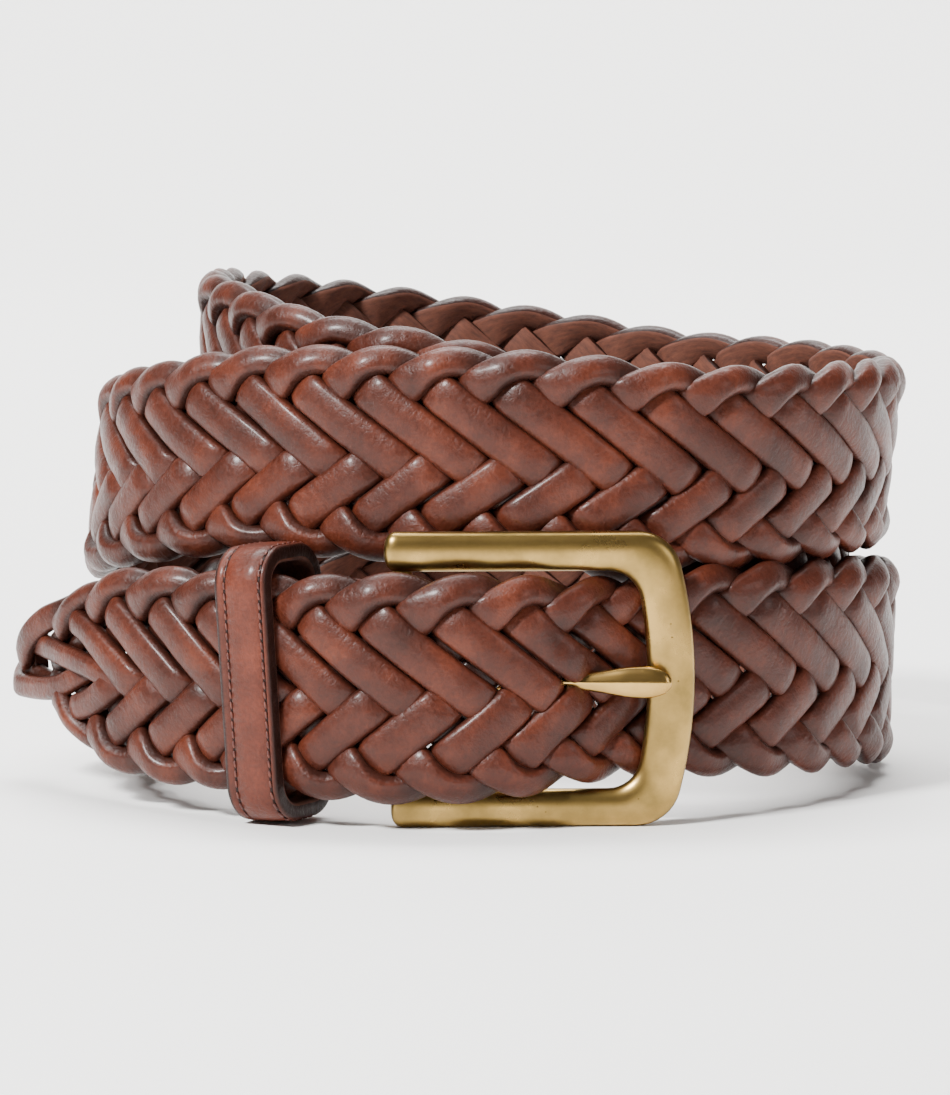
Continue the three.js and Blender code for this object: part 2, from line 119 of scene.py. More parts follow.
@dataclass
class Shading:
    """A new material, and the kinds of node that the finishes share."""

    name: str
    material: Material = field(init=False)
    tree: bpy.types.NodeTree = field(init=False)

    def __post_init__(self) -> None:
        """Makes the material with no nodes in it."""
        self.material = bpy.data.materials.new(self.name)
        self.material.use_nodes = True
        self.tree = self.material.node_tree
        self.tree.nodes.clear()

    def solid(self) -> Socket:
        """Coordinates through the piece, in metres."""
        return add_node(self.tree, "ShaderNodeTexCoord").outputs["Object"]

    def drawn(self, scale: tuple[float, float, float]) -> Socket:
        """Coordinates along the piece and across its section, in scaled metres."""
        place = add_node(self.tree, "ShaderNodeUVMap", {"uv_map": "UVMap"}).outputs["UV"]
        inputs = {"Vector": place, "Scale": scale}
        return add_node(self.tree, "ShaderNodeMapping", {}, inputs).outputs["Vector"]

    def noise(self, at: Socket, mm: float, detail: float, rough: float, bend: float = 0.0) -> Socket:
        """Noise with spots of about the given size."""
        return add_node(self.tree, "ShaderNodeTexNoise", None, {
            "Vector": at, "Scale": per_size(mm), "Detail": detail, "Roughness": rough,
            "Distortion": bend,
        }).outputs["Fac"]

    def mark(self, name: str) -> Socket:
        """One of the skin's marks."""
        return add_node(self.tree, "ShaderNodeAttribute", {"attribute_name": name}).outputs["Fac"]

    def ramp(self, share: Socket, *stops: tuple[float, str]) -> Socket:
        """A colour for each share."""
        return add_node(self.tree, "ShaderNodeValToRGB", None, {"Fac": share}, stops).outputs["Color"]

    def span(self, value: Socket, reads: Pair, gives: Pair) -> Socket:
        """Turns one range of values into another."""
        return add_node(self.tree, "ShaderNodeMapRange", None, {
            "Value": value, "From Min": reads[0], "From Max": reads[1],
            "To Min": gives[0], "To Max": gives[1],
        }).outputs["Result"]

    def blend(self, share: Any, first: Socket, second: Any, kind: str = "MIX") -> Socket:
        """Lays the second colour over the first."""
        settings = {"data_type": "RGBA", "blend_type": kind}
        return add_node(self.tree, "ShaderNodeMix", settings, {0: share, 6: first, 7: second}).outputs[2]

    def bump(self, height: Socket, strength: float, deep_mm: float, under: Socket | None = None) -> Socket:
        """Raises the surface by a height, on top of another bump if one is given."""
        below = {} if under is None else {"Normal": under}
        inputs = {"Strength": strength, "Distance": deep_mm * MM, "Height": height, **below}
        return add_node(self.tree, "ShaderNodeBump", None, inputs).outputs["Normal"]

    def surface(self, inputs: dict[str, Any]) -> Material:
        """Ends the tree in a surface with these inputs.

        Args:
            inputs: the principled shader's inputs.

        Returns:
            The finished material.
        """
        shader = add_node(self.tree, "ShaderNodeBsdfPrincipled", None, inputs)
        add_node(self.tree, "ShaderNodeOutputMaterial", None, {"Surface": shader.outputs["BSDF"]})
        return self.material


def smooth_curve(places: Array, values: Array, at: Array) -> Array:
    """Reads a smooth curve that doesn't overshoot between its rows.

    Args:
        places: the rows' places, growing.
        values: the rows' values.
        at: where to read it.

    Returns:
        The curve's values.
    """
    spans = np.diff(places)
    steps = np.diff(values) / spans
    slopes = np.concatenate([steps[:1], np.zeros(len(steps) - 1), steps[-1:]])
    same = steps[:-1] * steps[1:] > 0
    total = np.where(same, steps[:-1] + steps[1:], 1)
    slopes[1:-1] = np.where(same, 2 * steps[:-1] * steps[1:] / total, 0)
    inside = np.clip(at, places[0], places[-1])
    i = np.clip(np.searchsorted(places, inside) - 1, 0, len(spans) - 1)
    t = (inside - places[i]) / spans[i]
    level = values[i] * (1 + 2 * t) * (1 - t) ** 2 + values[i + 1] * t * t * (3 - 2 * t)
    return level + spans[i] * t * (1 - t) * (slopes[i] * (1 - t) - slopes[i + 1] * t)


def unit(vectors: Array) -> Array:
    """Scales each vector to a length of one."""
    return vectors / np.linalg.norm(vectors, axis=-1, keepdims=True)


def soft_step(low: float, high: float, at: Array) -> Array:
    """Rises smoothly from 0 at low to 1 at high."""
    t = np.clip((at - low) / (high - low), 0, 1)
    return t * t * (3 - 2 * t)


@dataclass(frozen=True)
class Wander:
    """A seeded, smooth unevenness along a strand."""

    seed: int
    waves: tuple[float, ...] = (9.1, 4.7, 2.6)

    def read(self, at: Array, size: float) -> Array:
        """Draws the waves and adds them up, to about the given size.

        Args:
            at: phases along the strand.
            size: about the largest unevenness.

        Returns:
            The unevenness at each phase.
        """
        draw = np.random.default_rng(self.seed)
        total = np.zeros_like(at)
        for wave in self.waves:
            total += np.sin(2 * math.pi * (at / wave + draw.random()))
        return size * total / len(self.waves)


@dataclass(frozen=True)
class CoilRow:
    """A place on the coil: turn and lean in degrees, the others as shares of the route's sizes."""

    turn: float
    radius: float
    width: float
    lift: float
    lean: float
    lay: float


@dataclass(frozen=True)
class FrameRow:
    """A place in the frame: a share of its length, and how far the middle drops there."""

    place: float
    radius: float
    width: float
    drop: float
    lay: float


FREE_END = tuple(CoilRow(*row) for row in (
    (-78, 1.222, 0.16, 0.55, 0, 0.97), (-73, 1.19, 0.42, 0.435, 0, 0.97),
    (-65, 1.157, 0.73, 0.3, 0, 0.98), (-56, 1.136, 1, 0.165, 0, 1),
    (-46, 1.12, 1.065, 0.145, 0, 0.98), (-38, 1.114, 1.07, 0.147, 0, 0.9),
    (-30, 1.112, 1.07, 0.148, 0, 0.86), (-22, 1.115, 1.08, 0.145, 0, 0.92),
    (-14, 1.117, 1.09, 0.142, 0, 1), (-4, 1.108, 1.085, 0.15, 0, 1),
))
THROUGH_FRAME = tuple(FrameRow(*row) for row in (
    (0.417, 1.085, 1.07, 0.011, 1), (0.577, 1.056, 1, 0.005, 1), (0.684, 1.028, 1, 0.001, 0.97),
    (0.817, 1, 1, -0.002, 0.93), (0.977, 0.984, 1.01, -0.006, 0.95),
    (1.191, 0.988, 1.03, -0.008, 1), (1.538, 1, 1.04, 0.012, 1.06),
))
COILED = tuple(CoilRow(*row) for row in (
    (70, 1, 1.05, 0.115, 1.5, 1.1), (90, 1, 1.05, 0.035, 2, 1.08), (120, 1, 1, 0, 1, 1.02),
    (145, 1, 1, 0.03, 0, 1), (180, 1, 1, 0.2, 0, 0.99), (225, 1, 1, 0.531, -4, 0.99),
    (270, 1, 1, 0.988, -6, 1), (300, 0.955, 1, 1.174, -5, 1.02),
    (325, 0.905, 1.015, 1.27, -3.5, 1.02), (345, 0.905, 1.03, 1.265, -1.5, 1.02),
    (365, 0.925, 1.03, 1.25, 0.5, 1.03), (400, 0.985, 0.99, 1.2, 4, 1.04),
    (425, 1, 0.975, 1.2, 5.5, 1.06), (445, 0.997, 0.965, 1.17, 6, 1.1),
    (500, 0.972, 1, 1.15, 3, 1.03), (540, 0.929, 1, 1.31, 0, 1.04), (570, 0.857, 1, 1.445, 0, 1.1),
    (600, 0.778, 1, 1.54, 0, 1), (630, 0.72, 1, 1.575, 0, 0.95), (655, 0.728, 1, 1.555, 0, 0.95),
    (685, 0.785, 1, 1.45, 0, 0.98), (715, 0.835, 1, 1.33, 0, 1.02), (765, 0.88, 1, 0.89, 0, 1),
    (810, 0.882, 1, 0.485, 0, 1), (855, 0.872, 1, 0.12, 0, 1), (890, 0.872, 1, 0, 0, 1),
    (960, 0.872, 0.98, 0, 0, 1), (990, 0.89, 0.95, 0.02, 0, 1), (1020, 0.965, 0.93, 0.12, 0, 1),
    (1045, 1.007, 0.93, 0.2, 0, 1), (1061, 1.014, 0.93, 0.244, 0, 1),
))


@dataclass
class Route:
    """The strap's way round the coil, in millimetres about the coil's middle."""

    strap_width: float = 32.0
    coil_radius: float = 63.5
    pitch: float = 10.9
    heel_turn: float = -12.6
    frame_length: float = 39.8
    opening_middle: float = 22.75
    centre: tuple[float, float] = (5.444, 3.339)
    step: float = 0.5
    table: dict[str, Array] = field(init=False)
    turns: Array = field(init=False)
    phases: Array = field(init=False)

    def __post_init__(self) -> None:
        """Works out the table of rows, and the phase of the braid at each turn."""
        rows = [*FREE_END, *(self.in_frame(row) for row in THROUGH_FRAME), *COILED]
        names = ("turn", "radius", "width", "lift", "lean", "lay")
        self.table = {name: np.array([getattr(row, name) for row in rows]) for name in names}
        first, last = self.table["turn"][[0, -1]]
        count = round((last - first) / self.step)
        self.turns = np.linspace(first, last, count + 1)
        points = self.point(self.turns, 0, 0)
        steps = np.linalg.norm(np.diff(points, axis=0), axis=1)
        pitches = steps / (self.pitch * self.share("lay", self.turns[1:]))
        self.phases = np.concatenate([[0], np.cumsum(pitches)])

    def in_frame(self, row: FrameRow) -> CoilRow:
        """Places a row of the stretch that passes through the frame.

        Args:
            row: its place in the frame.

        Returns:
            The same place on the coil.
        """
        turn = self.heel_turn + math.degrees(row.place * self.frame_length / self.coil_radius)
        lift = self.opening_middle / self.strap_width - row.drop - row.width / 2
        return CoilRow(turn, row.radius, row.width, lift, 0, row.lay)

    def share(self, name: str, turn: Array) -> Array:
        """Reads one of the table's shares at the turns."""
        return smooth_curve(self.table["turn"], self.table[name], np.asarray(turn, float))

    def radius(self, turn: Array) -> Array:
        """The centreline's distance from the coil's middle."""
        return self.coil_radius * self.share("radius", turn)

    def half_width(self, turn: Array) -> Array:
        """Half the strap's width."""
        return self.strap_width * self.share("width", turn) / 2

    def middle(self, turn: Array) -> Array:
        """The centreline's height above the surface."""
        return self.strap_width * (self.share("lift", turn) + self.share("width", turn) / 2)

    def outward(self, turn: Array) -> Array:
        """The level direction out of the coil.

        Args:
            turn: degrees from the front.

        Returns:
            A unit vector for each turn.
        """
        angle = np.radians(turn)
        reach = self.radius(turn)
        spread = 2 * math.radians(self.step)
        slope = (self.radius(turn + self.step) - self.radius(turn - self.step)) / spread
        size = np.hypot(reach, slope)
        x = (np.sin(angle) * reach - np.cos(angle) * slope) / size
        y = (-np.cos(angle) * reach - np.sin(angle) * slope) / size
        return np.stack([x, y, np.zeros_like(x)], -1)

    def axes(self, turn: Array) -> tuple[Array, Array]:
        """The directions out of the strap's outer face and up across its width.

        Args:
            turn: degrees from the front.

        Returns:
            Unit vectors outwards and upwards for each turn.
        """
        lean = np.radians(self.share("lean", turn))[..., None]
        out = self.outward(turn)
        up = np.zeros_like(out)
        up[..., 2] = 1
        return out * np.cos(lean) - up * np.sin(lean), up * np.cos(lean) + out * np.sin(lean)

    def point(self, turn: Array, off: Any, height: Any) -> Array:
        """A point of the strap.

        Args:
            turn: degrees from the front, growing towards +X.
            off: distance outwards from the strap's middle.
            height: distance above the centreline.

        Returns:
            The points, in millimetres about the coil's middle.
        """
        turn = np.asarray(turn, float)
        angle = np.radians(turn)
        reach = self.radius(turn)
        base = np.stack([np.sin(angle) * reach, -np.cos(angle) * reach, self.middle(turn)], -1)
        out, up = self.axes(turn)
        offs, heights = (np.asarray(value, float)[..., None] for value in (off, height))
        return base + out * offs + up * heights

    def turn_at(self, phase: Array) -> Array:
        """The turn at a phase of the braid, in pitches from the tip."""
        return np.interp(phase, self.phases, self.turns)

    def to_row(self, points: Array) -> Array:
        """Moves points to the belt's frame, in metres."""
        return (points + np.array([self.centre[0], self.centre[1], 0.0])) * MM


@dataclass
class Skin:
    """A closed skin over rings of points that all have the same count."""

    name: str
    rings: Array
    along: Array
    across: Array
    marks: dict[str, Array] = field(default_factory=dict)
    column_slots: Sequence[int] = ()
    closed: bool = False

    def build(self, materials: Sequence[Material]) -> Item:
        """Makes the object, with its UV map in metres and its marks as attributes.

        Args:
            materials: the object's materials, in the order of the column slots.

        Returns:
            The new object, linked to the scene.
        """
        count, size = self.rings.shape[:2]
        spans = count if self.closed else count - 1
        start = np.arange(spans)[:, None] * size
        end = (start + size) % (count * size)
        here = np.arange(size)[None, :]
        after = (here + 1) % size
        quads = np.stack([start + here, end + here, end + after, start + after], -1)
        faces = quads.reshape(-1, 4).tolist()
        last = list(range(count * size - 1, (count - 1) * size - 1, -1))
        caps = [] if self.closed else [list(range(size)), last]
        mesh = smooth_mesh(self.name, self.rings, faces + caps)
        self._map(mesh, spans, size, len(caps) * size)
        for name, values in self.marks.items():
            layer = mesh.attributes.new(name, "FLOAT", "POINT")
            layer.data.foreach_set("value", np.asarray(values, np.float32).reshape(-1))
        flats = [False] * len(caps)
        mesh.polygons.foreach_set("use_smooth", [True] * len(faces) + flats)
        if len(self.column_slots):
            slots = np.tile(np.asarray(self.column_slots), spans).tolist() + [0] * len(caps)
            mesh.polygons.foreach_set("material_index", slots)
        return place_object(self.name, mesh, materials)

    def _map(self, mesh: bpy.types.Mesh, spans: int, size: int, spare: int) -> None:
        """Writes the UV map: along the piece, and across its section.

        Args:
            mesh: the mesh.
            spans: how many spans between rings have faces.
            size: points in a ring.
            spare: corners of the end caps, which take no place.
        """
        along = np.append(self.along, 2 * self.along[-1] - self.along[-2])
        spread = np.append(self.across, 2 * self.across[-1] - self.across[-2])
        u = np.repeat(along[:, None], size + 1, 1) * MM
        v = np.repeat(spread[None, :], len(along), 0) * MM
        corners = [(0, 0), (1, 0), (1, 1), (0, 1)]
        uv = [np.stack([grid[a:spans + a, b:size + b] for grid in (u, v)], -1) for a, b in corners]
        flat = np.stack(uv, 2).reshape(-1, 2)
        flat = np.concatenate([flat, np.zeros((spare, 2))])
        mesh.uv_layers.new(name="UVMap").data.foreach_set("uv", flat.astype(np.float32).ravel())


def smooth_mesh(name: str, points: Array, faces: list[list[int]]) -> bpy.types.Mesh:
    """Makes a smooth mesh of points in metres."""
    mesh = bpy.data.meshes.new(name)
    mesh.from_pydata(np.reshape(points, (-1, 3)).tolist(), [], faces)
    mesh.polygons.foreach_set("use_smooth", [True] * len(faces))
    return mesh


def place_object(name: str, mesh: bpy.types.Mesh, materials: Sequence[Material]) -> Item:
    """Links a mesh to the scene as an object with its materials.

    Args:
        name: the object's name.
        mesh: its mesh.
        materials: its materials, in order.

    Returns:
        The new object.
    """
    mesh.validate()
    item = bpy.data.objects.new(name, mesh)
    for material in materials:
        mesh.materials.append(material)
    bpy.context.scene.collection.objects.link(item)
    return item


def fasten(item: Item, slot: Slot, *nodes: str) -> None:
    """Rides a piece on the belt, in place of its plain solids.

    Args:
        item: the piece.
        slot: its material slot; not used.
        nodes: the plain solids that it replaces.
    """
    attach(item, "root")
    if nodes:
        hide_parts(*nodes)
    LOG.info("%s: %d faces", item.name, len(item.data.polygons))


PLAIN_FACE = ((-0.5, 0.0), (0.0, 0.0), (0.5, 0.0))


def round_section(
    half: float,
    deep: float,
    corner: float,
    crown: float,
    face: Sequence[Pair] = PLAIN_FACE,
) -> Array:
    """A strip's section: the outer face from one edge to the other, then the inner face back.

    Args:
        half: half the strip's width.
        deep: half its thickness.
        corner: radius of the edges.
        crown: how far the outer face swells.
        face: places on the outer face, as shares of its flat part, and how deep each is pressed.

    Returns:
        Points as pairs of across and outwards.
    """
    flat = half - corner
    wall = deep - corner

    def arc(x: float, y: float, degrees: Sequence[float]) -> Array:
        """Points round one rounded edge."""
        angle = np.radians(degrees)
        return np.stack([x + corner * np.cos(angle), y + corner * np.sin(angle)], -1)

    points = np.concatenate([
        arc(-flat, wall, (180, 150, 120, 90)),
        [(share * flat, deep - press) for share, press in face],
        arc(flat, wall, (90, 60, 30, 0)),
        arc(flat, -wall, (0, -45, -90)),
        [(0.0, -deep)],
        arc(-flat, -wall, (-90, -135, -180)),
    ])
    swell = crown * np.clip(1 - (points[:, 0] / half) ** 2, 0, 1)
    points[:, 1] += np.where(points[:, 1] > 0, swell, 0)
    return points


def inner_columns(section: Array) -> list[int]:
    """Marks with 1 the columns of a section that lie on its inner face."""
    low = section[:, 1] < 0.5 * section[:, 1].min()
    return (low & np.roll(low, -1)).astype(int).tolist()


def rim_marks(section: Array) -> Array:
    """How near each point of a section is to the strip's cut edge, from 0 to 1.

    Args:
        section: the section's points.

    Returns:
        One mark for each point.
    """
    half = np.abs(section[:, 0]).max()
    near = np.abs(section[:, 0]) / half
    return np.where(section[:, 1] < 0.35 * section[:, 1].max(), 1.0, near)


def length_along(points: Array) -> Array:
    """The distance along a path at each of its points."""
    return np.concatenate([[0], np.cumsum(np.linalg.norm(np.diff(points, axis=0), axis=1))])


@dataclass(frozen=True)
class DyedLeather:
    """Vegetable-tanned cowhide, dyed through and burnished by hand.

    The grain is fine and cloudy, the raised faces are polished and catch a soft pink
    sheen, and dye gathers on the cut edges. Shade is painted in too: the colour darkens where one strand
    dives under another.
    """

    name: str = "vegetable_tanned_cowhide_burnished"
    light: str = "632e1c"
    body: str = "431c10"
    dark: str = "210d07"
    edge: str = "1a0a06"
    edge_share: float = 0.7
    cloud_mm: float = 9.0
    grain_mm: float = 0.62
    crease_mm: float = 1.5
    roughness: float = 0.4

    def make(self) -> Material:
        """Builds the material.

        Returns:
            The material.
        """
        nodes = Shading(self.name)
        solid = nodes.solid()
        cloud = nodes.noise(solid, self.cloud_mm, 6.0, 0.62)
        grain = nodes.noise(solid, self.grain_mm, 4.0, 0.6)
        crease = nodes.noise(nodes.drawn((1.0, 0.28, 1.0)), self.crease_mm, 3.0, 0.55, 0.4)
        tone = nodes.ramp(cloud, (0.2, self.dark), (0.8, self.light), (0.5, self.body))
        grained = nodes.blend(0.5, tone, grain, "OVERLAY")
        rim = nodes.span(nodes.mark("rim"), (0.88, 1.0), (0.0, self.edge_share))
        edged = nodes.blend(rim, grained, linear(self.edge))
        # Painted shade: the colour darkens towards the dark tone where a strand dives under another.
        dive_shade = nodes.span(nodes.mark("dive_shade"), (0.1, 1.0), (0.0, 0.75))
        dyed = nodes.blend(dive_shade, edged, linear(self.dark))
        gloss = nodes.span(grain, (0.3, 0.7), (self.roughness - 0.07, self.roughness + 0.12))
        folds = nodes.bump(crease, 0.8, 0.2)
        return nodes.surface({
            "Base Color": dyed, "Roughness": gloss, "IOR": 1.5, "Specular IOR Level": 0.22,
            "Coat Weight": 0.12, "Coat Roughness": 0.19,
            "Normal": nodes.bump(grain, 0.9, 0.16, folds),
        })


@dataclass(frozen=True)
class FleshSide:
    """The back of the same hide: undyed in the nap, matte and slightly hairy."""

    name: str = "cowhide_flesh_side"
    light: str = "6a3a28"
    dark: str = "3a1d13"
    nap_mm: float = 0.8

    def make(self) -> Material:
        """Builds the material.

        Returns:
            The material.
        """
        nodes = Shading(self.name)
        nap = nodes.noise(nodes.drawn((0.35, 1.0, 1.0)), self.nap_mm, 6.0, 0.75)
        return nodes.surface({
            "Base Color": nodes.ramp(nap, (0.28, self.dark), (0.7, self.light)),
            "Roughness": 0.85, "IOR": 1.5, "Normal": nodes.bump(nap, 0.7, 0.16),
        })


@dataclass(frozen=True)
class CastBrass:
    """Cast brass, tumbled and antiqued: olive tarnish that is rubbed bright on the high places."""

    name: str = "antique_cast_brass"
    bright: str = "b39254"
    tarnish: str = "8a7240"
    pit: str = "4a3d22"
    patch_mm: float = 9.0
    pit_mm: float = 2.6
    roughness: float = 0.3

    def make(self) -> Material:
        """Builds the material.

        Returns:
            The material.
        """
        nodes = Shading(self.name)
        solid = nodes.solid()
        patch = nodes.noise(solid, self.patch_mm, 5.0, 0.6)
        tone = nodes.ramp(patch, (0.35, self.tarnish), (0.65, self.bright))
        pits = add_node(nodes.tree, "ShaderNodeTexVoronoi", None, {
            "Vector": solid, "Scale": per_size(self.pit_mm), "Randomness": 1.0,
        })
        dots = nodes.ramp(pits.outputs["Distance"], (0.03, self.pit), (0.075, "ffffff"))
        gloss = nodes.span(patch, (0.3, 0.7), (self.roughness + 0.08, self.roughness - 0.06))
        return nodes.surface({
            "Base Color": nodes.blend(0.6, tone, dots, "MULTIPLY"), "Metallic": 1.0,
            "Roughness": gloss, "Normal": nodes.bump(dots, 0.3, 0.05),
        })


@dataclass(frozen=True)
class WaxedThread:
    """Waxed linen thread, dark red, with the twist of its three plies."""

    name: str = "waxed_linen_thread"
    colour: str = "5c2b1c"
    dark: str = "43170f"
    twist_mm: float = 2.1

    def make(self) -> Material:
        """Builds the material.

        Returns:
            The material.
        """
        nodes = Shading(self.name)
        twist = add_node(nodes.tree, "ShaderNodeTexWave", {"bands_direction": "DIAGONAL"}, {
            "Vector": nodes.solid(), "Scale": per_size(self.twist_mm), "Distortion": 1.5,
        })
        return nodes.surface({
            "Base Color": nodes.ramp(twist.outputs["Fac"], (0.0, self.dark), (1.0, self.colour)),
            "Roughness": 0.5, "IOR": 1.5,
        })


@dataclass
class Braid:
    """The flat braid of eight strands: over three one way, over two the other."""

    route: Route
    strands: int = 8
    strand_width: float = 6.15
    strand_depth: float = 1.95
    corner: float = 0.88
    crown: float = 0.62
    layer: float = 1.05
    swing: float = 15.75
    turn_span: float = 0.5
    roll: float = 30.0
    spacing: float = 0.08
    plateau: float = 0.13
    float_swell: float = 1.12

    # Where a strand lies over (1) or under (-1) the strand it crosses, on its way down from
    # the top edge and up again, at every half pitch, and 0 where it turns at an edge.
    layers: ClassVar[tuple[int, ...]] = (
        0, -1, 1, 1, 1, -1, -1, 1, 0, -1, 1, 1, -1, -1, -1, 1,
    )

    def strand(self, index: int) -> tuple[Array, Array, Array]:
        """The strand's place in the strap.

        Args:
            index: which strand, from 0.

        Returns:
            Phase along the strap, height across it and distance outwards, in millimetres.
        """
        last = self.route.phases[-1]
        phase = np.arange(0, last, self.spacing)
        place = (phase - index) % self.strands
        return phase, self.height(place), self.lift(place)

    def height(self, place: Array) -> Array:
        """Height above the centreline: straight runs with a rounded turn at each edge.

        Args:
            place: phase since the strand last turned at the top edge.

        Returns:
            The height at each phase, in millimetres.
        """
        half = self.strands / 2
        near_top = np.minimum(place, self.strands - place)
        far = half - near_top
        edge = np.minimum(near_top, far)
        turned = edge ** 2 / (2 * self.turn_span) + self.turn_span / 2
        run = np.where(edge < self.turn_span, turned, edge)
        level = self.swing * (1 - run / (half / 2))
        return np.where(near_top <= far, level, -level)

    def lift(self, place: Array) -> Array:
        """Distance outwards: level over each crossing, with a smooth dive between two.

        Args:
            place: phase since the strand last turned at the top edge.

        Returns:
            The distance at each phase, in millimetres.
        """
        places, values = [], []
        for i in range(-1, 2 * self.strands + 2):
            sign = self.layers[i % (2 * self.strands)]
            before = self.layers[(i - 1) % (2 * self.strands)]
            after = self.layers[(i + 1) % (2 * self.strands)]
            swell = self.float_swell if sign == before == after else 1.0
            if sign == 0:
                places.append(i / 2)
                values.append(0.0)
                continue
            for side in (-self.plateau, self.plateau):
                places.append(i / 2 + side)
                values.append(sign * self.layer * swell)
        return smooth_curve(np.array(places), np.array(values), place)


def frames_along(points: Array, normals: Array, closed: bool = False) -> tuple[Array, Array]:
    """The across and outward directions at each point of a path.

    Args:
        points: the path.
        normals: roughly outwards at each point.
        closed: whether the path's end meets its start.

    Returns:
        The direction across the strip and the direction out of its face.
    """
    if closed:
        tangent = unit(np.roll(points, -1, 0) - np.roll(points, 1, 0))
    else:
        tangent = unit(np.gradient(points, axis=0))
    across = unit(np.cross(normals, tangent))
    return across, unit(np.cross(tangent, across))


def rings_along(path: Array, across: Array, out: Array, wide: Array, deep: Array) -> Array:
    """Sets a ring of points at each point of a path.

    Args:
        path: the path's points.
        across: the direction of the ring's width, at each point or for all.
        out: the direction of its depth.
        wide: the ring's places across, for each point or for all.
        deep: its places outwards.

    Returns:
        The rings.
    """
    across, out = (np.broadcast_to(way, path.shape)[:, None, :] for way in (across, out))
    return path[:, None, :] + across * wide[..., None] + out * deep[..., None]


def sweep(
    name: str, path: Array, across: Array, out: Array, section: Array, closed: bool = False
) -> Skin:
    """Lays a section along a path.

    Args:
        name: the piece's name.
        path: the path's points.
        across: the direction of the section's width at each point.
        out: the direction of its depth.
        section: the section's points.
        closed: whether the path's end meets its start.

    Returns:
        The skin, with the cut edges marked.
    """
    rings = rings_along(path, across, out, *section.T)
    marks = {"rim": np.tile(rim_marks(section), len(path))}
    slots = inner_columns(section)
    return Skin(name, rings, length_along(path), length_along(section), marks, slots, closed)


